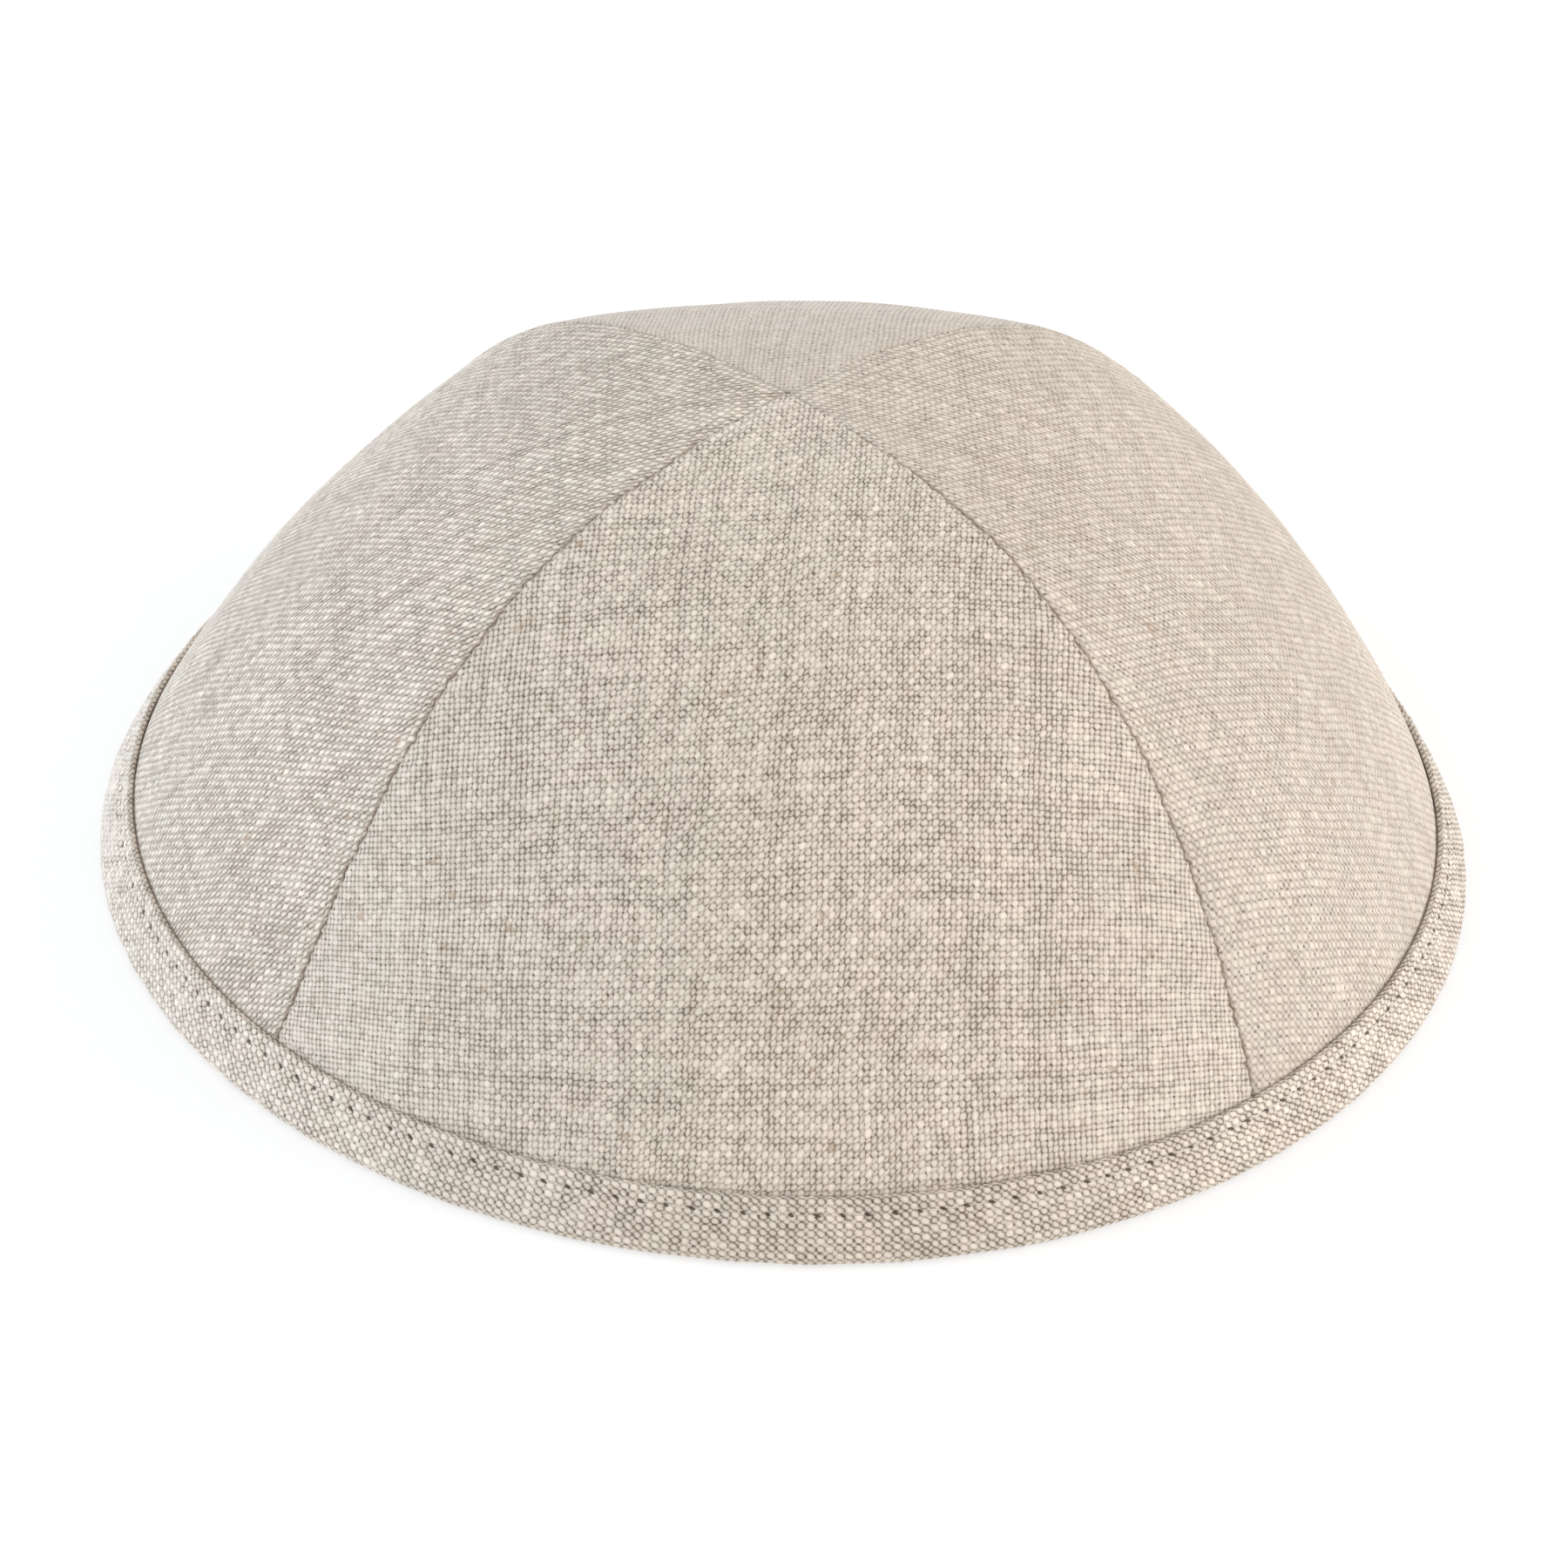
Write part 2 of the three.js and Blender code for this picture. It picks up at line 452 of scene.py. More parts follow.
class ClothSheet:
    """A grid of cloth made with operators, whose vertices are then laid in place."""

    def __init__(self, name: str, columns: int, rows: int) -> None:
        """Makes the flat grid.

        Args:
            name: The mesh's name.
            columns: Faces along x.
            rows: Faces along y.
        """
        grid = bmesh.new()
        bmesh.ops.create_grid(grid, x_segments=columns, y_segments=rows, size=0.5)
        self.mesh = bpy.data.meshes.new(name)
        grid.to_mesh(self.mesh)
        grid.free()
        count = len(self.mesh.vertices)
        flat = np.empty(count * 3, np.float32)
        self.mesh.vertices.foreach_get("co", flat)
        flat = flat.reshape(-1, 3)
        self.column = np.rint((flat[:, 0] + 0.5) * columns).astype(int)
        self.row = np.rint((flat[:, 1] + 0.5) * rows).astype(int)
        self.corner = np.empty(len(self.mesh.loops), np.int32)
        self.mesh.loops.foreach_get("vertex_index", self.corner)

    def lay(self, points: Array) -> None:
        """Moves the vertices to their places."""
        self.mesh.vertices.foreach_set("co", points.astype(np.float32).ravel())

    def map(self, name: str, values: Array) -> None:
        """Adds a UV map.

        Args:
            name: The map's name.
            values: One pair for each vertex, or for each face corner.
        """
        layer = self.mesh.uv_layers.new(name=name, do_init=False)
        if len(values) == len(self.mesh.vertices):
            values = values[self.corner]
        layer.uv.foreach_set("vector", values.astype(np.float32).ravel())

    def value(self, name: str, values: Array) -> None:
        """Adds a named value to each vertex."""
        layer = self.mesh.attributes.new(name, "FLOAT", "POINT")
        layer.data.foreach_set("value", values.astype(np.float32))


def finish_mesh(shape: BMesh, name: str) -> Piece:
    """Makes a smooth-shaded object of a bmesh, at the origin.

    Args:
        shape: The mesh to take over.
        name: The object's name.

    Returns:
        The new object, linked to the scene.
    """
    if shape.calc_volume(signed=True) < 0:
        bmesh.ops.reverse_faces(shape, faces=shape.faces)
    for face in shape.faces:
        face.smooth = True
    mesh = bpy.data.meshes.new(name)
    shape.to_mesh(mesh)
    shape.free()
    piece = bpy.data.objects.new(name, mesh)
    bpy.context.scene.collection.objects.link(piece)
    return piece


def turn_about_z(points: Array, angle: Array | float) -> Array:
    """Turns points about the cap's axis.

    Args:
        points: The points, with their coordinates on the last axis.
        angle: One angle for all, or one for each point.

    Returns:
        The turned points.
    """
    x = points[:, 0] * np.cos(angle) - points[:, 1] * np.sin(angle)
    y = points[:, 0] * np.sin(angle) + points[:, 1] * np.cos(angle)
    return np.stack([x, y, points[:, 2]], -1)


class Bench:
    """Sets out a material's nodes and joins them."""

    def __init__(self, tree: bpy.types.NodeTree) -> None:
        """Takes over a node tree and empties it."""
        self.tree = tree
        self.tree.nodes.clear()
        self.named: dict[str, Socket] = {}

    def node(self, kind: str, inputs: dict | None = None, **settings: object) -> bpy.types.Node:
        """Adds one node.

        Args:
            kind: The node's type.
            inputs: A value or an output for each input, by name or number.
            settings: The node's own settings.

        Returns:
            The new node.
        """
        made = self.tree.nodes.new(kind)
        for name, value in settings.items():
            setattr(made, name, value)
        for key, value in (inputs or {}).items():
            self.feed(made.inputs[key], value)
        return made

    def feed(self, socket: Socket, value: object) -> None:
        """Links an output to a socket, or sets the socket's own value."""
        if isinstance(value, Socket):
            self.tree.links.new(value, socket)
        else:
            socket.default_value = value

    def maths(self, operation: str, *values: object, clamp: bool = False) -> Socket:
        """Adds a Math node.

        Args:
            operation: Its operation.
            values: Its inputs in order.
            clamp: Whether the result is held from 0 to 1.

        Returns:
            Its output.
        """
        inputs = dict(enumerate(values))
        return self.node("ShaderNodeMath", inputs, operation=operation, use_clamp=clamp).outputs[0]

    def ramp(self, value: object, low: float, high: float, start: float = 0.0,
             end: float = 1.0) -> Socket:
        """Maps a value smoothly from one range to another.

        Args:
            value: What is mapped.
            low: Where the result is start.
            high: Where the result is end.
            start: The result at low.
            end: The result at high.

        Returns:
            The mapped value.
        """
        inputs = {0: value, 1: low, 2: high, 3: start, 4: end}
        return self.node("ShaderNodeMapRange", inputs, interpolation_type="SMOOTHSTEP").outputs[0]

    def named_value(self, name: str) -> Socket:
        """Reads a named value of the mesh, with one node for each name."""
        if name not in self.named:
            self.named[name] = self.node("ShaderNodeAttribute", attribute_name=name).outputs["Fac"]
        return self.named[name]

    def blend(self, share: object, first: object, second: object) -> Socket:
        """Blends two values."""
        return self.node("ShaderNodeMix", {0: share, 2: first, 3: second}, data_type="FLOAT").outputs[0]

    def length(self, x: object, y: object) -> Socket:
        """Finds the length of a flat vector."""
        return self.maths("SQRT", self.maths("MULTIPLY_ADD", x, x, self.maths("MULTIPLY", y, y)))

    def vector(self, x: object, y: object, z: object = 0.0) -> Socket:
        """Joins three values in a vector."""
        return self.node("ShaderNodeCombineXYZ", {0: x, 1: y, 2: z}).outputs[0]

    def split(self, vector: Socket) -> list[Socket]:
        """Takes a vector apart."""
        return list(self.node("ShaderNodeSeparateXYZ", {0: vector}).outputs)

    def scatter(self, x: object, y: object, seed: float) -> Socket:
        """Returns one random value for each pair of whole numbers."""
        inputs = {0: self.vector(x, y, seed)}
        return self.node("ShaderNodeTexWhiteNoise", inputs, noise_dimensions="3D").outputs["Value"]

    def noise(self, vector: object, scale: float, detail: float = 2.0,
              roughness: float = 0.5) -> bpy.types.Node:
        """Adds a Noise node.

        Args:
            vector: Where it is read.
            scale: Its scale.
            detail: Its octaves.
            roughness: How strong the finer ones are.

        Returns:
            The node.
        """
        inputs = {"Vector": vector, "Scale": scale, "Detail": detail, "Roughness": roughness}
        return self.node("ShaderNodeTexNoise", inputs, noise_dimensions="3D")

    def mix(self, share: object, first: object, second: object, blend: str = "MIX") -> Socket:
        """Mixes two colours.

        Args:
            share: How much of the second.
            first: The first colour.
            second: The second colour.
            blend: The way they mix.

        Returns:
            The mixed colour.
        """
        made = self.node("ShaderNodeMix", data_type="RGBA", blend_type=blend)
        self.feed(made.inputs[0], share)
        self.feed(made.inputs[6], first)
        self.feed(made.inputs[7], second)
        return made.outputs[2]

    def shade(self, colour: object, light: object) -> Socket:
        """Makes a colour lighter or darker by a factor."""
        return self.mix(1.0, colour, self.vector(light, light, light), "MULTIPLY")

    def surface(self, inputs: dict) -> None:
        """Adds the surface's shader and joins it to the output."""
        shader = self.node("ShaderNodeBsdfPrincipled", inputs)
        self.node("ShaderNodeOutputMaterial", {"Surface": shader.outputs[0]})


def new_material(name: str) -> tuple[bpy.types.Material, Bench]:
    """Makes an empty material, and the bench for its nodes."""
    material = bpy.data.materials.new(name)
    material.use_nodes = True
    return material, Bench(material.node_tree)


@dataclass(frozen=True)
class LinenFinish:
    """Matte natural linen: pale floats over gaps darkened with painted shade, with slubs, flecks and a soft
    uneven tone.

    A float's size is its half width and half height, in threads, and its lean. Spreads and tones
    are shares of the whole.
    """

    name: str
    warp_size: tuple[float, float, float] = (0.60, 0.68, 0.5)
    weft_size: tuple[float, float, float] = (0.44, 0.44, 1.4)
    even_size: tuple[float, float, float] = (0.56, 0.60, 0.0)
    weft_height: float = 0.80
    even_height: float = 0.90
    dome_power: float = 0.85
    thread_spread: float = 0.22
    float_spread: float = 0.30
    slub_growth: float = 0.16
    slub_spread: tuple[float, float] = (3.71, 4.37)
    slub_start: tuple[float, float] = (0.5, 9.5)
    slub_pace: float = 0.1
    slub_range: tuple[float, float] = (0.64, 0.76)
    thread_tone: float = 0.07
    float_tone: float = 0.14
    slub_tone: float = 0.03
    streak_tone: float = 0.05
    faced_narrowing: float = 0.16
    faced_lengthening: float = 0.30
    faced_sinking: float = 0.80
    patch_scale: float = 90.0
    patch_spread: float = 0.06
    column_gap_shade: float = 0.90
    side_range: tuple[float, float] = (0.0, 0.35)
    top_range: tuple[float, float] = (0.2, 1.0)
    cloud_scale: float = 45.0
    cloud_tone: float = 0.025
    hue_scale: float = 260.0
    husk_scale: float = 420.0
    husk_range: tuple[float, float] = (0.66, 0.74)
    husk_depth: float = 0.45
    pinhole_range: tuple[float, float] = (0.68, 0.97)
    pinhole_size: tuple[float, float] = (0.12, 0.30)
    pinhole_shade: float = 0.65
    fibre_count: float = 4.0
    fibre_tone: float = 0.07
    needle_width: float = 0.115
    needle_spread: float = 0.05
    needle_height: float = 0.235
    needle_slant: float = 0.7
    needle_shade: float = 0.9
    needle_depth: float = 1.2
    seam_break_scale: float = 700.0
    bump: float = 0.11 * MM
    bump_strength: float = 0.5
    stitched: bool = False

    def make(self) -> bpy.types.Material:
        """Builds the material.

        Returns:
            The new material.
        """
        material, bench = new_material(self.name)
        place = bench.node("ShaderNodeTexCoord").outputs["Object"]
        count = bench.node("ShaderNodeUVMap", uv_map=THREADS_MAP).outputs[0]
        height, colour = self.weave(bench, count, place)
        if self.stitched:
            height, colour = self.needle_holes(bench, height, colour)
        crisp = bench.maths("SUBTRACT", 1.0, bench.named_value(SOFTNESS), clamp=True)
        relief = bench.maths("MULTIPLY", height, crisp)
        raised = {"Strength": self.bump_strength, "Distance": self.bump, "Height": relief}
        bump = bench.node("ShaderNodeBump", raised)
        bench.surface({
            "Base Color": colour,
            "Roughness": bench.ramp(height, 0.0, 1.0, 0.98, 0.86),
            "Specular IOR Level": 0.2,
            "Sheen Weight": 0.15,
            "Sheen Roughness": 0.55,
            "Sheen Tint": (1.0, 0.98, 0.95, 1.0),
            "Normal": bump.outputs[0],
        })
        return material

    def weave(self, bench: Bench, count: object, place: object) -> tuple[object, object]:
        """Draws the floats of both thread sets as soft domes in a chequer, with painted shade darkening their
        sides and the gaps between.

        Args:
            bench: Where the nodes go.
            count: The thread counts, warp then weft.
            place: The place on the object.

        Returns:
            The relief from 0 in the gaps to 1 on the floats, and the colour.
        """
        u, v = self.wavered(bench, count)
        along = bench.maths("MULTIPLY", bench.maths("ADD", u, v), 0.5)
        across = bench.maths("MULTIPLY", bench.maths("SUBTRACT", u, v), 0.5)
        patch = bench.noise(place, self.patch_scale, 1.0).outputs[0]
        patch = bench.ramp(patch, 0.35, 0.65, -self.patch_spread, self.patch_spread)
        evenness = bench.maths("ADD", bench.named_value(EVENNESS), patch, clamp=True)
        warp_site = (bench.maths("ADD", bench.maths("FLOOR", along), 0.5), bench.maths("ROUND", across))
        weft_site = (bench.maths("ROUND", along), bench.maths("ADD", bench.maths("FLOOR", across), 0.5))
        warp_top = bench.blend(evenness, 1.0, (1.0 + self.even_height) / 2)
        weft_top = bench.blend(evenness, self.weft_height, self.even_height)
        sunk = bench.maths("MULTIPLY_ADD", bench.named_value(WARP_FACED), -self.faced_sinking, 1.0)
        weft_top = bench.maths("MULTIPLY", weft_top, sunk)
        here = (along, across)
        warp_height, warp_tone = self.float_dome(bench, here, warp_site, (u, v), 0, evenness, warp_top)
        weft_height, weft_tone = self.float_dome(bench, here, weft_site, (u, v), 1, evenness, weft_top)
        height = bench.maths("MAXIMUM", warp_height, weft_height)
        tone = bench.blend(bench.maths("GREATER_THAN", warp_height, weft_height), weft_tone, warp_tone)
        # Painted shade: the colour darkens from the float tops down their sides into the gaps, by height
        # alone.
        side = bench.ramp(height, *self.side_range)
        colour = bench.mix(side, Colour.GAP.value, Colour.FLOAT_SIDE_SHADE.value)
        colour = bench.mix(bench.ramp(height, *self.top_range), colour, Colour.FLOAT_TOP.value)
        colour = bench.shade(colour, tone)
        if self.stitched:
            # Painted shade: thin darker lines between the band's columns of floats.
            beside = bench.maths("ABSOLUTE", bench.maths("SUBTRACT", along, bench.maths("ROUND", along)))
            colour = bench.shade(colour, bench.ramp(beside, 0.03, 0.16, self.column_gap_shade, 1.0))
        # Where the weave is soft, the painted shade fades into the cloth's mean colour.
        colour = bench.mix(bench.named_value(SOFTNESS), colour, Colour.AWAY.value)
        colour = self.cloud(bench, place, colour)
        colour = self.flecks(bench, place, u, v, colour)
        # Painted shade along the seams, broken by noise.
        broken = bench.ramp(bench.noise(place, self.seam_break_scale, 1.0).outputs[0], 0.38, 0.62, 0.25, 1.0)
        seam = bench.maths("MULTIPLY", bench.named_value(SEAM_SHADE), broken)
        return height, bench.mix(seam, colour, Colour.SEAM.value)

    def wavered(self, bench: Bench, count: object) -> tuple[object, object]:
        """Lets the threads waver a little, in long waves and in short ragged ones.

        Args:
            bench: Where the nodes go.
            count: The thread counts.

        Returns:
            The wavered warp and weft counts.
        """
        moved = count
        for scale, detail, reach in ((0.31, 2.0, 0.25), (1.3, 1.0, 0.18)):
            waver = bench.noise(count, scale, detail).outputs["Color"]
            shift = {0: waver, 1: (2 * reach, 2 * reach, 0.0), 2: (-reach, -reach, 0.0)}
            shift = bench.node("ShaderNodeVectorMath", shift, operation="MULTIPLY_ADD").outputs[0]
            moved = bench.node("ShaderNodeVectorMath", {0: moved, 1: shift}, operation="ADD").outputs[0]
        u, v, _ = bench.split(moved)
        return u, v

    def float_dome(self, bench: Bench, here: tuple, site: tuple, count: tuple, own: int, evenness: object,
                   top: object) -> tuple[object, object]:
        """Draws the nearest float of one thread set.

        Args:
            bench: Where the nodes go.
            here: The place, as half the sum and half the difference of the counts.
            site: The same of the float's middle.
            count: The thread counts here.
            own: 0 for the warp, 1 for the weft.
            evenness: How level the two sets lie.
            top: The float's height.

        Returns:
            The float's relief and how light it is.
        """
        numbers = [bench.maths(operation, site[0], site[1]) for operation in ("ADD", "SUBTRACT")]
        off = [bench.maths("SUBTRACT", here[k], site[k]) for k in (0, 1)]
        offsets = [bench.maths(operation, off[0], off[1]) for operation in ("ADD", "SUBTRACT")]
        draws = [
            bench.scatter(numbers[0], 0.0, Seed.WARP_THREAD.value),
            bench.scatter(0.0, numbers[1], Seed.WEFT_THREAD.value),
        ]
        own_draw = bench.scatter(numbers[0], numbers[1], Seed.FLOAT.value + own)
        slubs = [self.slub(bench, numbers[k], count[1 - k], k) for k in (0, 1)]
        vary = bench.maths("MULTIPLY_ADD", own_draw, self.float_spread, 1.0 - self.float_spread / 2)
        size = (self.warp_size, self.weft_size)[own]
        reach = []
        for k, growth in enumerate((-self.faced_narrowing, self.faced_lengthening)):
            thick = bench.maths("MULTIPLY_ADD", draws[k], self.thread_spread, 1.0 - self.thread_spread / 2)
            thick = bench.maths("MULTIPLY_ADD", slubs[k][0], self.slub_growth, thick)
            faced = bench.maths("MULTIPLY_ADD", bench.named_value(WARP_FACED), growth, 1.0)
            half = bench.maths("MULTIPLY", bench.blend(evenness, size[k], self.even_size[k]), thick)
            half = bench.maths("MULTIPLY", bench.maths("MULTIPLY", half, faced), vary)
            reach.append(bench.maths("DIVIDE", offsets[k], half))
        lean = bench.blend(evenness, bench.maths("ADD", size[2], bench.named_value(LEAN)), self.even_size[2])
        square = bench.maths("MULTIPLY_ADD", reach[0], reach[0], bench.maths("MULTIPLY", reach[1], reach[1]))
        square = bench.maths("MULTIPLY_ADD", bench.maths("MULTIPLY", reach[0], reach[1]), lean, square)
        dome = bench.maths("POWER", bench.maths("SUBTRACT", 1.0, square, clamp=True), self.dome_power)
        tone = bench.maths("MULTIPLY_ADD", own_draw, self.float_tone, 1.0 - self.float_tone)
        for draw in draws:
            tone = bench.maths("MULTIPLY_ADD", draw, self.thread_tone, tone)
        slub, streak = slubs[own]
        tone = bench.maths("ADD", tone, bench.maths("MULTIPLY_ADD", slub, self.slub_tone, streak))
        return bench.maths("MULTIPLY", dome, top), tone

    def slub(self, bench: Bench, number: object, run: object, own: int) -> tuple[object, object]:
        """Finds where a thread is thick.

        Args:
            bench: Where the nodes go.
            number: The thread's number.
            run: The place along it.
            own: 0 for the warp, 1 for the weft.

        Returns:
            0 on plain thread and 1 on a slub, and how much lighter the thread is there.
        """
        apart = bench.maths("MULTIPLY", number, self.slub_spread[own])
        along = bench.maths("MULTIPLY", run, self.slub_pace)
        found = bench.noise(bench.vector(apart, along, self.slub_start[own]), 1.0, 0.0).outputs[0]
        streak = bench.ramp(found, 0.25, 0.75, -self.streak_tone, self.streak_tone)
        return bench.ramp(found, *self.slub_range), streak

    def cloud(self, bench: Bench, place: object, colour: object) -> object:
        """Lays the cloth's soft uneven tone over its colour.

        Args:
            bench: Where the nodes go.
            place: The place on the object.
            colour: The colour so far.

        Returns:
            The new colour.
        """
        broad = bench.noise(place, self.cloud_scale, 3.0).outputs[0]
        light = bench.ramp(broad, 0.3, 0.7, 1.0 - self.cloud_tone, 1.0 + self.cloud_tone)
        colour = bench.shade(colour, light)
        moved = bench.node("ShaderNodeMapping", {0: place, 1: (0.3, 0.1, 0.7)}).outputs[0]
        hue = bench.noise(moved, self.hue_scale, 2.0).outputs[0]
        tint = bench.mix(bench.ramp(hue, 0.35, 0.65), Colour.ROSE.value, Colour.SAGE.value)
        return bench.mix(1.0, colour, tint, "MULTIPLY")

    def flecks(self, bench: Bench, place: object, u: object, v: object, colour: object) -> object:
        """Adds brown flecks of husk, painted shade in pin-holes at thread corners, and fine fibres.

        Args:
            bench: Where the nodes go.
            place: The place on the object.
            u: Warp count.
            v: Weft count.
            colour: The colour so far.

        Returns:
            The new colour.
        """
        husk = bench.ramp(bench.noise(place, self.husk_scale, 2.0, 0.6).outputs[0], *self.husk_range)
        colour = bench.mix(bench.maths("MULTIPLY", husk, self.husk_depth), colour, Colour.FLECK.value)
        corner = [bench.maths("ROUND", value) for value in (u, v)]
        off = [bench.maths("SUBTRACT", value, near) for value, near in zip((u, v), corner)]
        away = bench.length(off[0], off[1])
        # Painted shade: dark spots in some gaps where the corners of four floats meet.
        pinhole = bench.ramp(bench.scatter(corner[0], corner[1], Seed.CORNER.value), *self.pinhole_range)
        pinhole = bench.maths("MULTIPLY", bench.ramp(away, *self.pinhole_size, 1.0, 0.0), pinhole)
        colour = bench.mix(bench.maths("MULTIPLY", pinhole, self.pinhole_shade), colour, Colour.HOLE_SHADE.value)
        fine = bench.vector(*[bench.maths("MULTIPLY", value, self.fibre_count) for value in (u, v)])
        fibre = bench.noise(fine, 1.0, 3.0, 0.65).outputs[0]
        light = bench.ramp(fibre, 0.25, 0.75, 1.0 - self.fibre_tone, 1.0 + self.fibre_tone)
        return bench.shade(colour, light)

    def needle_holes(self, bench: Bench, height: object, colour: object) -> tuple[object, object]:
        """Opens the needle holes of the topstitching, as slanted almonds, with painted shade inside them.

        Args:
            bench: Where the nodes go.
            height: The relief so far.
            colour: The colour so far.

        Returns:
            The new relief and colour.
        """
        count, away, _ = bench.split(bench.node("ShaderNodeUVMap", uv_map=STITCH_MAP).outputs[0])
        nearest = bench.maths("ROUND", count)
        draw = bench.scatter(nearest, 0.0, Seed.NEEDLE.value)
        beside = bench.maths("SUBTRACT", count, nearest)
        width = bench.maths("MULTIPLY_ADD", draw, self.needle_spread, self.needle_width)
        slanted = bench.maths("MULTIPLY_ADD", beside, -self.needle_slant, away)
        x = bench.maths("DIVIDE", beside, width)
        y = bench.maths("DIVIDE", slanted, self.needle_height)
        hole = bench.ramp(bench.length(x, y), 0.75, 1.15, 1.0, 0.0)
        # Painted shade: each needle hole is darkened towards the hole colour.
        colour = bench.mix(bench.maths("MULTIPLY", hole, self.needle_shade), colour, Colour.HOLE_SHADE.value)
        return bench.maths("MULTIPLY_ADD", hole, -self.needle_depth, height), colour


@dataclass(frozen=True)
class ThreadFinish:
    """Spun linen sewing thread, with its twist."""

    name: str = "sewing_thread"
    strand_scale: float = 5200.0
    tone_scale: float = 260.0
    bump: float = 0.04 * MM
    bump_strength: float = 0.6

    def make(self) -> bpy.types.Material:
        """Builds the material.

        Returns:
            The new material.
        """
        material, bench = new_material(self.name)
        place = bench.node("ShaderNodeTexCoord").outputs["Object"]
        strand = bench.noise(place, self.strand_scale, 2.0).outputs[0]
        tone = bench.ramp(bench.noise(place, self.tone_scale, 1.0).outputs[0], 0.3, 0.7, 0.86, 1.08)
        light = bench.maths("MULTIPLY", tone, bench.ramp(strand, 0.3, 0.7, 0.85, 1.08))
        colour = bench.shade(Colour.THREAD.value, light)
        bump = bench.node("ShaderNodeBump", {"Strength": self.bump_strength, "Distance": self.bump,
                                             "Height": strand})
        bench.surface({
            "Base Color": colour,
            "Roughness": 0.78,
            "Specular IOR Level": 0.3,
            "Sheen Weight": 0.2,
            "Normal": bump.outputs[0],
        })
        return material


@dataclass
class FlatCut:
    """The crown panel's cut laid out flat, with y down its middle from the apex."""

    shape: CapShape
    step: float = 0.4 * MM
    last_level: float = 2.9
    edge_gap: float = 0.06 * MM
    tip_gap: float = 0.3
    gap_run: float = 20.0 * MM
    lines: Array = field(init=False)
    shares: Array = field(init=False)
    levels: Array = field(init=False)
    widths: Array = field(init=False)
    half: Array = field(init=False)

    def __post_init__(self) -> None:
        """Finds, for each line across the cut, the level and the width at each share."""
        shape = self.shape
        self.shares = np.linspace(0.0, 1.0, 81)
        levels = np.concatenate([np.linspace(1e-4, 1.0, 701), np.linspace(1.02, 7.0, 300)])
        middle = np.stack(shape.outline(levels, shape.middle_pull, shape.middle_aim), -1)
        run = np.concatenate([[0.0], np.cumsum(np.linalg.norm(np.diff(middle, axis=0), axis=1))])
        slope = np.gradient(middle, run, axis=0)
        length = float(np.interp(self.last_level, levels, run))
        self.lines = np.arange(self.step / 2, length, self.step)
        faces = shape.surface(levels[None, :], self.shares[:, None])
        self.levels = np.empty((len(self.lines), len(self.shares)))
        for k, line in enumerate(self.lines):
            tangent = [float(np.interp(line, run, slope[:, axis])) for axis in (0, 1)]
            target = sum(float(np.interp(line, run, middle[:, axis])) * tangent[axis] for axis in (0, 1))
            reach = faces[..., 0] * tangent[0] + faces[..., 2] * tangent[1]
            self.levels[k] = [np.interp(target, side, levels) for side in reach]
        points = shape.surface(self.levels, self.shares[None, :])
        steps = np.linalg.norm(np.diff(points, axis=1), axis=2)
        self.widths = np.concatenate([np.zeros((len(self.lines), 1)), np.cumsum(steps, axis=1)], axis=1)
        radius = shape.seam_radius(self.levels[:, -1])
        gap = self.edge_gap * np.clip(self.lines / self.gap_run, self.tip_gap, 1.0)
        edge = 1.0 - np.arcsin(np.clip(gap / 2 / radius, 0.0, 0.6)) / shape.seam_angle
        self.half = np.array([np.interp(edge[k], self.shares, self.widths[k]) for k in range(len(edge))])

    @property
    def length(self) -> float:
        """The cut's length, down to its last line."""
        return float(self.lines[-1])

    def half_width(self, y: Array) -> Array:
        """Returns half the cut's width at each place down it, below nothing above the apex."""
        first = self.lines[0]
        return np.where(y < first, y - first + self.half[0], np.interp(y, self.lines, self.half))

    def edge_slope(self, y: Array) -> Array:
        """Returns how fast the half width grows at each place down the cut."""
        return np.interp(y, self.lines, np.gradient(self.half, self.lines))

    def locate(self, x: Array, y: Array) -> tuple[Array, Array]:
        """Finds where places on the flat cut lie on the crown.

        Args:
            x: Places across the cut, signed.
            y: Places down it.

        Returns:
            The level and the share of each point.
        """
        line = np.clip((y - self.lines[0]) / self.step, 0.0, len(self.lines) - 1.001)
        first = line.astype(int)
        part = line - first
        level = np.zeros(len(x))
        share = np.zeros(len(x))
        order = np.argsort(first, kind="stable")
        for group in np.split(order, np.flatnonzero(np.diff(first[order])) + 1):
            for k, weight in ((first[group[0]], 1 - part[group]), (first[group[0]] + 1, part[group])):
                found = np.interp(np.abs(x[group]), self.widths[k], self.shares)
                share[group] += weight * found
                level[group] += weight * np.interp(found, self.shares, self.levels[k])
        return level, share * np.sign(x)


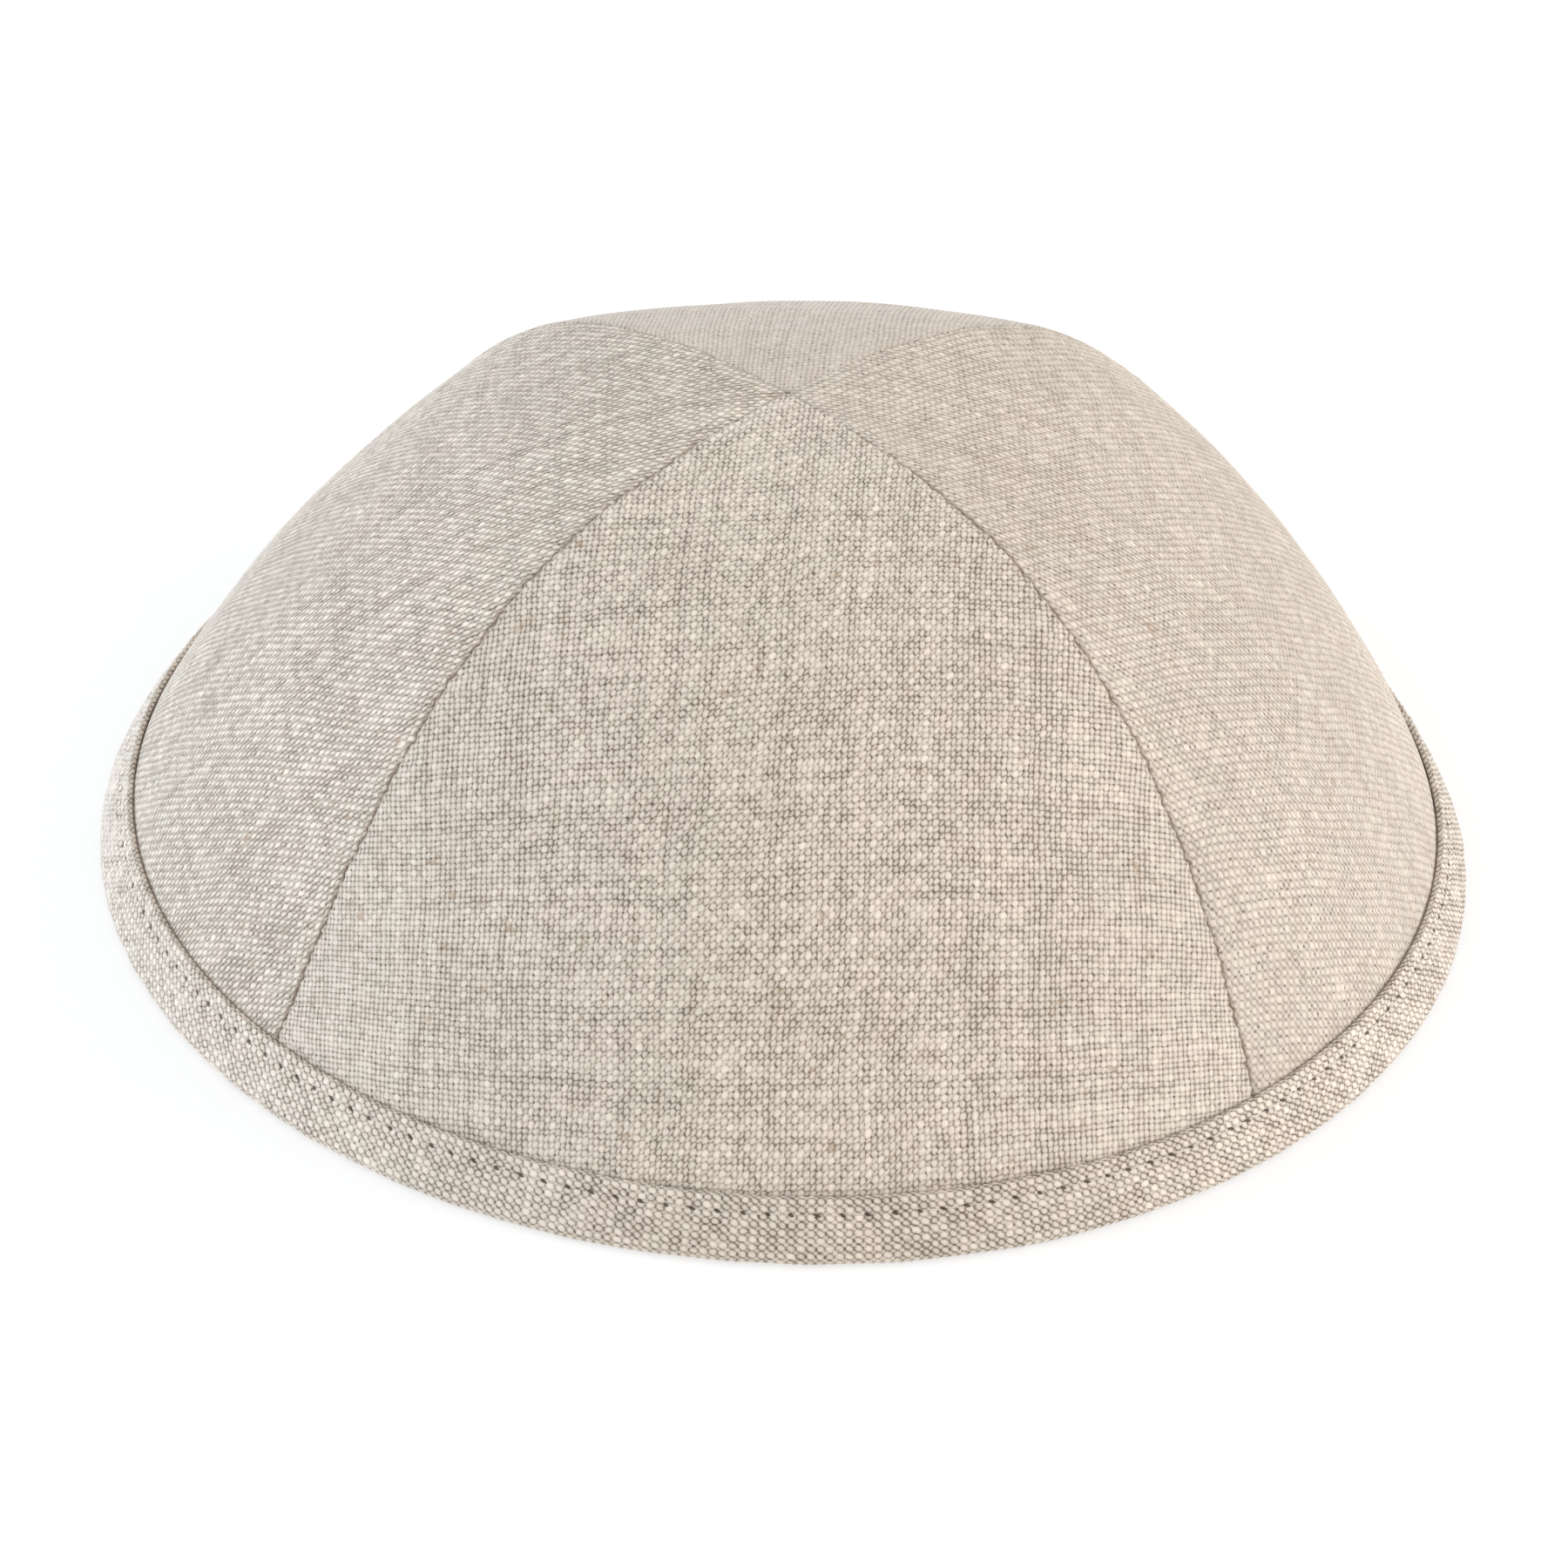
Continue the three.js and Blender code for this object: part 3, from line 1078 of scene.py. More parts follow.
@dataclass
class CrownPanel:
    """One woven crown panel: outer face, inner face and the edge between them."""

    facing: Facing
    cut: FlatCut
    grain: Grain
    weave: Weave = Weave()
    seam_roll: float = 0.17 * MM
    seam_sway: float = 0.19 * MM
    seam_wander: float = 0.20 * MM
    seam_start: float = 14.0 * MM
    band_bulge: float = 0.10 * MM
    ridge_height: float = 0.10 * MM
    ridge_place: float = 2.2 * MM
    ridge_width: float = 1.3 * MM
    pucker_pitch: float = 3.1 * MM
    softness: float = 0.10 * MM
    foot_height: float = 3.4 * MM
    wall: float = 1.1 * MM
    layout_span: float = 132.0 * MM
    inner_layout: float = 0.42
    inner_corner: tuple[float, float] = (0.012, 0.985)
    outer_foot: float = 0.015
    thread_shift: float = 0.05
    thread_waves: tuple[float, float, float] = (18.0, 80.0, 0.22)
    edge_catch: float = 0.08 * MM
    relief_fade: float = 0.4 * MM
    band_fade: float = 0.05
    seam_reach: float = 0.34 * MM
    seam_shade_strength: float = 0.75
    tip_reach: float = 0.9 * MM
    tip_shade_strength: float = 0.7

    @property
    def name(self) -> str:
        """The piece's name."""
        return "linen_" + self.node

    @property
    def node(self) -> str:
        """The CAD node that it replaces."""
        return "crown_panel_" + self.facing.name.lower()

    @property
    def seed(self) -> int:
        """The panel's own seed."""
        return 1200 + self.facing.value

    def face(self, step: int, inner: bool) -> ClothSheet:
        """Makes one face of the panel.

        Args:
            step: Half threads to a mesh face.
            inner: Whether it is the inner face.

        Returns:
            The laid sheet, with its maps.
        """
        cut = self.cut
        low, high = self.thread_range()
        columns, rows = (int(v) for v in (high - low) // step)
        sheet = ClothSheet(self.name, columns, rows)
        half_warp = low[0] + sheet.column * step
        half_weft = low[1] + sheet.row * step
        draw = np.random.default_rng(self.seed + 1)
        own_warp = draw.normal(0.0, self.thread_shift, high[0] - low[0] + 3)[sheet.column * step]
        own_weft = draw.normal(0.0, self.thread_shift, high[1] - low[1] + 3)[sheet.row * step]
        warp = half_warp / 2.0
        weft = half_weft / 2.0
        sway = Waves(self.seed, *self.thread_waves).at(warp, weft)
        rise = Waves(self.seed + 5, *self.thread_waves).at(warp, weft)
        x, y = self.grain.find(warp + own_warp + sway, weft + own_weft + rise)
        outside = cut.half_width(y) - np.abs(x) < self.edge_catch
        warp, weft, x, y = self.stop_at_seams(sheet, outside, [warp, weft, x, y])
        level, share = cut.locate(x, y)
        away = np.maximum(cut.half_width(y) - np.abs(x), 0.0) / np.sqrt(1 + cut.edge_slope(y) ** 2)
        evenness = self.grain.evenness(x, y)
        softness = self.grain.softness(x, y)
        points = cut.shape.surface(level, share)
        normal = cut.shape.normals(level, share)
        if inner:
            points = self.inward(points, normal)
        else:
            relief = self.weave.relief(half_warp / 2.0, half_weft / 2.0, evenness, self.seed + 2)
            shown = np.clip((1.0 - level) / self.band_fade, 0.0, 1.0)
            relief = relief * (1 - 0.6 * softness) * np.clip(away / self.relief_fade, 0.3, 1.0)
            relief = np.where(outside, 0.0, relief * (0.3 + 0.7 * shown))
            bulge = self.band_bulge * np.exp(-((level - 1.0) / self.band_fade) ** 2)
            form = self.seam_form(away, x, y, shown) + bulge
            points = points + normal * (relief + form)[:, None]
        points = self.sway_seams(points, away, x, y)
        sheet.lay(self.place(points))
        shift = 400.0 + 2 * (self.facing.value // 3)
        sheet.map(THREADS_MAP, np.stack([warp + shift, weft + 200.0], -1))
        sheet.map(LAYOUT_MAP, self.layout(x, y, inner))
        sheet.value(EVENNESS, evenness)
        sheet.value(SOFTNESS, softness)
        sheet.value(LEAN, np.full(len(evenness), self.grain.float_lean))
        sheet.value(WARP_FACED, np.full(len(evenness), self.grain.warp_faced))
        sheet.value(SEAM_SHADE, self.seam_shade(away, x, y))
        return sheet

    def thread_range(self) -> tuple[Array, Array]:
        """Finds the half threads that the panel needs.

        Returns:
            The lowest and highest warp and weft, in even half threads.
        """
        y = np.linspace(0.0, self.cut.length - 1.5 * MM, 400)
        half = np.maximum(self.cut.half_width(y), 0.0)
        warp, weft = self.grain.counts(np.concatenate([-half, half]), np.concatenate([y, y]))
        edge = self.foot_line()
        foot = self.grain.counts(edge[0], edge[1])[1]
        low = np.array([warp.min(), weft.min()])
        high = np.array([warp.max(), foot.max()])
        return 4 * np.floor(low / 2).astype(int), 4 * np.ceil(high / 2).astype(int)

    def foot_line(self) -> tuple[Array, Array]:
        """Finds the flat cut's places just under the foot, from seam to seam.

        Returns:
            Places across the cut and down it.
        """
        cut = self.cut
        top = cut.shape.band_height
        level = 1.0 + (top - self.foot_height + 0.6 * MM) / (top - 1.8 * MM)
        down = np.array([np.interp(level, cut.levels[:, k], cut.lines) for k in range(len(cut.shares))])
        across = np.array([np.interp(y, cut.lines, cut.widths[:, k]) for k, y in enumerate(down)])
        return np.concatenate([-across[::-1], across]), np.concatenate([down[::-1], down])

    def stop_at_seams(self, sheet: ClothSheet, outside: Array,
                      values: list[Array]) -> list[Array]:
        """Draws all that is past the seams in to where its own row meets the seam.

        Args:
            sheet: The sheet.
            outside: Whether each vertex is past the edge.
            values: Warp, weft, x and y of each vertex.

        Returns:
            The same values, drawn in.
        """
        order = np.lexsort((sheet.column, sheet.row))
        shape = (int(sheet.row.max()) + 1, int(sheet.column.max()) + 1)
        table = [value[order].reshape(shape) for value in values]
        free = ~outside[order].reshape(shape)
        x, y = table[2], table[3]
        spare = np.abs(x) - self.cut.half_width(y)
        for k in range(shape[0]):
            inside = np.flatnonzero(free[k])
            if len(inside) == 0:
                inside = np.array([np.argmin(spare[k])])
            for last, way in ((inside[0], -1), (inside[-1], 1)):
                beyond = int(np.clip(last + way, 0, shape[1] - 1))
                rate = spare[k, beyond] - spare[k, last]
                part = -spare[k, last] / rate if rate > 1e-9 else 0.0
                rest = slice(0, last) if way < 0 else slice(last + 1, None)
                for value in table:
                    value[k, rest] = value[k, last] + part * (value[k, beyond] - value[k, last])
        back = np.empty(len(order), int)
        back[order] = np.arange(len(order))
        return [value.ravel()[back] for value in table]

    def sway_seams(self, points: Array, away: Array, x: Array, y: Array) -> Array:
        """Lets each seam waver, together with the next panel's edge.

        Args:
            points: Points of a panel that faces +X.
            away: Distance from the seam.
            x: Place across the cut.
            y: Place down it.

        Returns:
            The moved points.
        """
        seam = np.where(x > 0, self.facing.value // 90 + 1, self.facing.value // 90) % 4
        run = y / MM
        short = np.sin(run * 4.8 + 1.7 * seam) + np.sin(run * 3.1 + 2.9 * seam)
        short = short + 0.7 * np.sin(run * 2.1 + 0.8 * seam)
        long = np.sin(run * 0.53 + 2.1 * seam) + 0.6 * np.sin(run * 0.29 + 1.1 * seam)
        near = np.exp(-(away / (0.9 * MM)) ** 2)
        far = np.exp(-(away / (4.0 * MM)) ** 2)
        grown = np.clip(y / (8 * MM), 0.0, 1.0)
        shift = grown * (self.seam_sway / 2 * short * near + self.seam_wander / 2 * long * far)
        turn = shift / np.maximum(np.hypot(points[:, 0], points[:, 1]), 1 * MM)
        return turn_about_z(points, turn)

    def seam_shade(self, away: Array, x: Array, y: Array) -> Array:
        """Finds how much painted shade lies along the seam, fading out towards the apex, with a small spot of
        painted shade on the apex itself.

        Args:
            away: Distance from the seam.
            x: Place across the cut.
            y: Place down it.

        Returns:
            0 on clear cloth, up to 1 in the seam.
        """
        line = np.where(x < 0, self.grain.seam_lines[0], self.grain.seam_lines[1])
        grown = np.clip((y - 6 * MM) / (16 * MM), 0.05, 1.0)
        # A small spot of painted shade on the apex, where the seams meet.
        tip = self.tip_shade_strength * np.exp(-(x ** 2 + y ** 2) / self.tip_reach ** 2)
        return np.maximum(self.seam_shade_strength * line * grown * np.exp(-(away / self.seam_reach) ** 2), tip)

    def seam_form(self, away: Array, x: Array, y: Array, shown: Array) -> Array:
        """Finds how the cloth rolls in at a seam, with the soft ridge beside it.

        Args:
            away: Distance from the seam.
            x: Place across the cut.
            y: Place down it.
            shown: 1 on the crown, 0 inside the band.

        Returns:
            Height over the plain crown.
        """
        roll = self.seam_roll * np.clip(y / self.seam_start, 0.12, 1.0)
        turn = np.clip(roll - away, 0.0, roll)
        drop = roll - np.sqrt(roll ** 2 - turn ** 2)
        pucker = 1 + 0.35 * np.sin(y * math.tau / self.pucker_pitch + np.sign(x) * 1.3)
        ridge = np.exp(-((away - self.ridge_place) / self.ridge_width) ** 2)
        soft = Waves(self.seed + 3, 9.0 * MM, 45.0 * MM, self.softness).at(x, y)
        soft = soft * np.clip(away / (4 * MM), 0.0, 1.0)
        return shown * (self.ridge_height * ridge * pucker + soft) - drop

    def inward(self, points: Array, normal: Array) -> Array:
        """Moves points one wall in, each within its upright plane through the cap's axis.

        Args:
            points: Points of the outer face.
            normal: Their outward normals.

        Returns:
            Points of the inner face.
        """
        flat = np.hypot(points[:, 0], points[:, 1])[:, None]
        radial = np.concatenate([points[:, :2] / flat, np.zeros((len(points), 1))], axis=1)
        within = radial * np.sum(normal * radial, axis=1)[:, None]
        within[:, 2] = normal[:, 2]
        within /= np.linalg.norm(within, axis=1, keepdims=True)
        return points - within * (self.wall / np.sum(normal * within, axis=1))[:, None]

    def place(self, points: Array) -> Array:
        """Turns the panel to its facing and settles it."""
        return self.cut.shape.settle(turn_about_z(points, math.radians(self.facing.value)))

    def layout(self, x: Array, y: Array, inner: bool) -> Array:
        """Lays the cut out flat in the unit square, the inner face small and upside down in a corner.

        Args:
            x: Place across the cut.
            y: Place down it.
            inner: Whether it is the inner face.

        Returns:
            Places in the unit square.
        """
        across = x / self.layout_span
        up = (self.cut.length - y) / self.layout_span
        if inner:
            left, top = self.inner_corner
            scale = self.inner_layout
            return np.stack([left + scale * (across + 0.5), top - scale * up], -1)
        return np.stack([0.5 + across, self.outer_foot + up], -1)

    def build(self) -> Piece:
        """Builds the panel as one closed piece.

        Returns:
            The piece.
        """
        outer = self.face(1, inner=False)
        inner = self.face(2, inner=True)
        shape = bmesh.new()
        shape.from_mesh(inner.mesh)
        bmesh.ops.reverse_faces(shape, faces=shape.faces)
        under = self.trim(shape)
        shape.from_mesh(outer.mesh)
        self.trim(shape)
        open_edges = [edge for edge in shape.edges if edge.is_boundary]
        strip = bmesh.ops.bridge_loops(shape, edges=open_edges)["faces"]
        self.map_strip(shape, strip, under)
        for sheet in (outer, inner):
            bpy.data.meshes.remove(sheet.mesh)
        return finish_mesh(shape, self.name)

    def trim(self, shape: BMesh) -> set[bmesh.types.BMVert]:
        """Welds what the seams drew together and cuts the foot level.

        Args:
            shape: The mesh.

        Returns:
            Its vertices.
        """
        bmesh.ops.remove_doubles(shape, verts=shape.verts, dist=0.004 * MM)
        geometry = [*shape.verts, *shape.edges, *shape.faces]
        bmesh.ops.bisect_plane(shape, geom=geometry, dist=1e-7, plane_co=(0, 0, self.foot_height),
                               plane_no=(0, 0, 1), clear_inner=True)
        return set(shape.verts)

    def map_strip(self, shape: BMesh, strip: list, under: set) -> None:
        """Lays the edge strip out beside the outer face.

        Args:
            shape: The mesh.
            strip: The strip's faces.
            under: The inner face's vertices.
        """
        threads = shape.loops.layers.uv[THREADS_MAP]
        layout = shape.loops.layers.uv[LAYOUT_MAP]
        strip_faces = set(strip)
        left, top = self.inner_corner
        push = self.wall / self.layout_span
        for face in strip:
            at_foot = all(abs(v.co.z - self.foot_height) < 1e-6 for v in face.verts)
            for loop in face.loops:
                source = next(other for other in loop.vert.link_loops if other.face not in strip_faces)
                loop[threads].uv = source[threads].uv
                u, v = source[layout].uv
                if loop.vert in under:
                    u = (u - left) / self.inner_layout - 0.5
                    v = (top - v) / self.inner_layout
                    u += 0.5 + (0.0 if at_foot else math.copysign(push, u))
                    v += self.outer_foot - (push if at_foot else 0.0)
                loop[layout].uv = (u, v)

    def flat_size(self) -> tuple[float, float, float]:
        """Measures the panel's flat cut.

        Returns:
            Its width, length and area.
        """
        foot_x, foot_y = self.foot_line()
        down = np.linspace(0.0, foot_y[0], 80)
        half = np.maximum(self.cut.half_width(down), 0.0)
        x = np.concatenate([-half, foot_x, half[::-1]])
        y = np.concatenate([down, foot_y, down[::-1]])
        area = abs(float(np.sum(x * np.roll(y, -1) - np.roll(x, -1) * y))) / 2
        return 2 * float(x.max()), float(y.max()), area

    def dress(self, piece: Piece, finish: bpy.types.Material) -> None:
        """Gives the panel its finish and its place in the frame.

        Args:
            piece: The built panel.
            finish: The cloth's material.
        """
        piece.data.materials.append(finish)
        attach(piece, BODY)
        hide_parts(self.node)
        width, length, area = self.flat_size()
        log.info("%s: cut %.1f x %.1f mm, %.0f mm2", self.name, width / MM, length / MM, area / MM ** 2)


@dataclass
class BandSection:
    """The rim band's section as a closed path, and the places on it that matter."""

    shape: CapShape
    outer_face: float = 0.34 * MM
    outer_back: float = 1.14 * MM
    inner_front: float = 2.62 * MM
    inner_face: float = 3.62 * MM
    full_depth: float = 3.8 * MM
    edge_rounding: float = 0.40 * MM
    slit_depth: float = 1.9 * MM
    slit_rounding: float = 0.15 * MM
    crease_rounding: float = 0.14 * MM
    shoulder_rounding: float = 0.60 * MM
    flank_height: float = 4.6 * MM
    flank_rounding: float = 6.0 * MM
    points: Array = field(init=False)
    run: Array = field(init=False)
    normal: Array = field(init=False)
    outer_top: float = field(init=False)
    inner_top: float = field(init=False)

    def __post_init__(self) -> None:
        """Draws the path: up behind the outer leg, over, down outside, round the fold and up inside."""
        wall = self.shape.band_wall
        flank = self.flank_height
        corners = [
            (self.at(wall, self.slit_depth), 0.0),
            (self.at(wall, self.outer_back), self.slit_rounding),
            (self.top(self.outer_back), self.crease_rounding),
            (self.top(self.outer_face), self.shoulder_rounding),
            (self.at(flank, 0.0), self.flank_rounding),
            (self.at(0.0, 0.0), self.shape.fold_rounding),
            (self.at(0.0, self.full_depth), self.shape.fold_rounding),
            (self.at(flank, self.full_depth), self.flank_rounding),
            (self.top(self.inner_face), self.edge_rounding),
            (self.top(self.inner_front), self.edge_rounding),
            (self.at(wall, self.inner_front), self.slit_rounding),
            (self.at(wall, self.slit_depth), 0.0),
        ]
        path, marks = self.rounded(corners)
        steps = np.linalg.norm(np.diff(path, axis=0), axis=1)
        keep = np.concatenate([[True], steps > 1e-9])
        run = np.concatenate([[0.0], np.cumsum(steps)])
        self.outer_top = float(run[marks[3]])
        self.inner_top = float(run[marks[8]])
        self.points = path[keep]
        self.run = run[keep]
        tangent = np.gradient(self.points, self.run, axis=0)
        tangent /= np.linalg.norm(tangent, axis=1, keepdims=True)
        self.normal = np.stack([-tangent[:, 1], tangent[:, 0]], -1)

    def at(self, height: float, depth: float) -> Array:
        """Returns a point of the section at a height and a depth."""
        return np.array([float(x) for x in self.shape.section_point(np.float64(height), np.float64(depth))])

    def top(self, depth: float) -> Array:
        """Returns a point of the square-cut top, at a depth."""
        slope = self.shape.band_slope
        return self.at(self.shape.band_height, 0.0) + depth * np.array([-math.sin(slope), -math.cos(slope)])

    def rounded(self, corners: list) -> tuple[Array, list[int]]:
        """Rounds a path's corners.

        Args:
            corners: Each corner with its rounding.

        Returns:
            The path's points, and for each corner the index of its arc's last point.
        """
        path: list[Array] = [corners[0][0]]
        marks = [0]
        for (before, _), (corner, rounding), (after, _) in zip(corners, corners[1:], corners[2:]):
            back = (before - corner) / np.linalg.norm(before - corner)
            onward = (after - corner) / np.linalg.norm(after - corner)
            half = math.acos(float(np.clip(back @ onward, -1, 1))) / 2
            start = corner + back * rounding / math.tan(half)
            end = corner + onward * rounding / math.tan(half)
            middle = back + onward
            centre = corner + middle / np.linalg.norm(middle) * rounding / math.sin(half)
            first = math.atan2(*(start - centre)[::-1])
            last = math.atan2(*(end - centre)[::-1])
            sweep = (last - first + math.pi) % math.tau - math.pi
            turns = first + sweep * np.linspace(0.0, 1.0, 13)
            path.extend(centre + rounding * np.array([math.cos(a), math.sin(a)]) for a in turns)
            marks.append(len(path) - 1)
        path.append(corners[-1][0])
        marks.append(len(path) - 1)
        return np.array(path), marks

    def sample(self, run: Array) -> tuple[Array, Array]:
        """Finds points of the path.

        Args:
            run: Distances along it.

        Returns:
            Points and outward normals, each as radius and height.
        """
        points = np.stack([np.interp(run, self.run, self.points[:, k]) for k in (0, 1)], -1)
        normal = np.stack([np.interp(run, self.run, self.normal[:, k]) for k in (0, 1)], -1)
        return points, normal / np.linalg.norm(normal, axis=1, keepdims=True)


@dataclass
class RimBand:
    """The bias strip folded round the rim, with its stitch channels."""

    section: BandSection
    columns: int = 962
    lattice_rise: float = 0.45 * MM
    stitch_count: int = 179
    stitch_drop: float = 1.5 * MM
    channel_depth: float = 0.16 * MM
    channel_width: float = 0.55 * MM
    woven_before: float = 1.2 * MM
    woven_after: float = 0.9 * MM
    woven_fade: float = 0.4 * MM
    crossing_height: float = 0.05 * MM
    gap_depth: float = 0.055 * MM
    hole_depth: float = 0.30 * MM
    hole_size: tuple[float, float] = (0.35 * MM, 0.3 * MM)
    puff_height: float = 0.05 * MM
    softness: float = 0.05 * MM
    name: str = "linen_rim_band"
    seed: int = 77
    stations: Array = field(init=False)
    holes: Array = field(init=False)

    def __post_init__(self) -> None:
        """Sets the rows across the strip and the needle holes along it."""
        section = self.section
        fine_start = section.outer_top - self.woven_before
        fine_end = section.inner_top + self.woven_after
        rows = int((fine_end - fine_start) / self.lattice_rise) + 1
        fine = fine_start + self.lattice_rise * np.arange(rows)
        before = np.linspace(0.0, fine_start, 7)[:-1]
        after = np.linspace(fine[-1], section.run[-1], 7)[1:]
        self.stations = np.concatenate([before, fine, after])
        draw = np.random.default_rng(self.seed)
        places = np.arange(self.stitch_count) + draw.uniform(-0.07, 0.07, self.stitch_count)
        self.holes = places * math.tau / self.stitch_count

    def stitch_number(self, angle: Array) -> Array:
        """Counts stitches round the rim, whole at each needle hole.

        Args:
            angle: Angles from 0 to a full turn.

        Returns:
            The counts.
        """
        turns = np.concatenate([self.holes - math.tau, self.holes, self.holes + math.tau])
        counts = np.arange(-self.stitch_count, 2 * self.stitch_count)
        return np.interp(angle, turns, counts)

    def stitch_lines(self) -> tuple[float, float]:
        """Returns how far along the section the outer and the inner stitch line lie."""
        section = self.section
        return section.outer_top + self.stitch_drop, section.inner_top - self.stitch_drop - 0.4 * MM

    def build(self) -> Piece:
        """Builds the band as one closed ring.

        Returns:
            The piece.
        """
        sheet = ClothSheet(self.name, self.columns, len(self.stations) - 1)
        run = self.stations[sheet.row]
        column = sheet.column.astype(float)
        angle = column * math.tau / self.columns
        rise = -(run - self.section.outer_top) / (2 * self.lattice_rise)
        warp = column / 2 + rise
        weft = column / 2 - rise
        lines = self.stitch_lines()
        wrapped = angle % math.tau
        wander = 0.05 * MM * np.sin(9 * wrapped + 0.7)
        away = np.where(run < (lines[0] + lines[1]) / 2, run - lines[0] + wander, run - lines[1] + wander)
        points, normal = self.section.sample(run)
        relief = self.relief(sheet, run, away, wrapped)
        radius = points[:, 0] + normal[:, 0] * relief
        height = points[:, 1] + normal[:, 1] * relief
        height = np.maximum(height, 0.0)
        turned = angle + math.pi / 2
        sheet.lay(np.stack([radius * np.cos(turned), radius * np.sin(turned), height], -1))
        sheet.map(THREADS_MAP, np.stack([warp, weft], -1))
        sheet.map(STITCH_MAP, np.stack([self.stitch_number(angle), away / MM], -1))
        sheet.map(LAYOUT_MAP, self.layout(sheet, run))
        shape = bmesh.new()
        shape.from_mesh(sheet.mesh)
        bmesh.ops.remove_doubles(shape, verts=shape.verts, dist=0.002 * MM)
        bpy.data.meshes.remove(sheet.mesh)
        return finish_mesh(shape, self.name)

    def relief(self, sheet: ClothSheet, run: Array, away: Array, angle: Array) -> Array:
        """Finds the band's relief: its weave, stitch channels and needle holes.

        Args:
            sheet: The sheet.
            run: Distance along the section.
            away: Distance from the nearer stitch line.
            angle: Angle round the rim.

        Returns:
            Heights over the plain section.
        """
        steps = np.rint((run - self.section.outer_top) / self.lattice_rise).astype(int)
        crossing = (sheet.column + steps) % 2 == 1
        draw = np.random.default_rng(self.seed + 1).uniform(0.7, 1.3, (self.columns, 200))
        vary = draw[sheet.column % self.columns, steps % 200]
        first = self.section.outer_top - self.woven_before
        last = self.section.inner_top + self.woven_after
        shown = np.clip((run - first) / self.woven_fade, 0, 1) * np.clip((last - run) / self.woven_fade, 0, 1)
        weave = np.where(crossing, self.crossing_height * vary, -self.gap_depth) * shown
        channel = -self.channel_depth * np.exp(-(away / self.channel_width) ** 2)
        count = self.stitch_number(angle)
        beside = (count - np.rint(count)) * math.tau / self.stitch_count * self.section.points[:, 0].mean()
        wide, high = self.hole_size
        hole = -self.hole_depth * np.exp(-(beside / wide) ** 2 - (away / high) ** 2)
        flank = np.exp(-((np.abs(away) - 0.9 * MM) / (0.7 * MM)) ** 2)
        puff = self.puff_height * np.cos(count * math.tau + math.pi) * flank
        soft = Waves(self.seed + 2, 0.25, 1.2, self.softness).at(np.cos(angle) * 4, np.sin(angle) * 4)
        return weave + channel + hole + (puff + soft) * shown

    def flat_size(self) -> tuple[float, float]:
        """Returns the strip's width and length before it was folded, both along its middle layer."""
        return float(self.section.run[-1]) / 2, math.tau * float(self.section.points[:, 0].mean())

    def layout(self, sheet: ClothSheet, run: Array) -> Array:
        """Lays the band out as four strips in the unit square.

        Args:
            sheet: The sheet.
            run: Distance along the section of each vertex.

        Returns:
            One place for each face corner.
        """
        column = sheet.column[sheet.corner].reshape(-1, 4)
        length = run[sheet.corner].reshape(-1, 4)
        quarter_columns = math.ceil(self.columns / 4)
        quarter = column.min(axis=1) // quarter_columns
        x = (column - quarter[:, None] * quarter_columns) / quarter_columns
        y = (quarter[:, None] + 0.02 + 0.96 * length / self.section.run[-1]) / 4
        return np.stack([0.005 + 0.99 * x, y], -1).reshape(-1, 2)

    def dress(self, piece: Piece, finish: bpy.types.Material) -> None:
        """Gives the band its finish and its place in the frame.

        Args:
            piece: The built band.
            finish: The cloth's material.
        """
        piece.data.materials.append(finish)
        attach(piece, BODY)
        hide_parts("rim_band")


@dataclass
class Topstitching:
    """The row of stitches round the band, outside and inside."""

    band: RimBand
    thickness: float = 0.27 * MM
    sunk: float = 0.26 * MM
    risen: float = 0.10 * MM
    slant: float = 0.12 * MM
    shortening: float = 0.25 * MM
    name: str = "band_topstitching"

    def build(self) -> Piece:
        """Builds each stitch as a short thread from one needle hole to the next.

        Returns:
            The piece.
        """
        shape = bmesh.new()
        step = 0.1 * MM
        holes = [*self.band.holes, self.band.holes[0] + math.tau]
        for line, side in zip(self.band.stitch_lines(), (1, -1)):
            points, normal = self.band.section.sample(np.array([line, line + step]))
            rise = (points[1] - points[0]) / step
            for start, end in zip(holes, holes[1:]):
                depth = self.sunk - self.risen * max(0.0, -math.sin((start + end) / 2))
                self.stitch(shape, (start, end), points[0] - normal[0] * depth, rise * side, normal[0])
        return finish_mesh(shape, self.name)

    def stitch(self, shape: BMesh, angles: tuple[float, float], place: Array,
               rise: Array, normal: Array) -> None:
        """Adds one stitch.

        Args:
            shape: The mesh that it joins.
            angles: Angles of its two needle holes.
            place: Radius and height of its middle.
            rise: The way across the stitch line, as radius and height.
            normal: The way out of the cloth, as radius and height.
        """
        turned = sum(angles) / 2 + math.pi / 2
        out = Vector((math.cos(turned), math.sin(turned), 0.0))
        up = Vector((0.0, 0.0, 1.0))
        along = Vector((-math.sin(turned), math.cos(turned), 0.0))
        across = out * float(rise[0]) + up * float(rise[1])
        away = out * float(normal[0]) + up * float(normal[1])
        length = place[0] * (angles[1] - angles[0]) - self.shortening
        run = (along * length + across * 2 * self.slant).normalized()
        side = away.cross(run).normalized()
        turn = Matrix((run, side, away)).transposed().to_4x4()
        size = Matrix.Diagonal((length / 2, self.thickness / 2, self.thickness / 2, 1.0))
        middle = Matrix.Translation(out * float(place[0]) + up * float(place[1]))
        lying = Matrix.Rotation(math.pi / 2, 4, "Y")
        matrix = middle @ turn @ size @ lying
        bmesh.ops.create_uvsphere(shape, u_segments=6, v_segments=6, radius=1.0, matrix=matrix)

    def dress(self, piece: Piece, finish: bpy.types.Material) -> None:
        """Gives the stitches their finish and their place in the frame.

        Args:
            piece: The built stitches.
            finish: The thread's material.
        """
        piece.data.materials.append(finish)
        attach(piece, BODY)


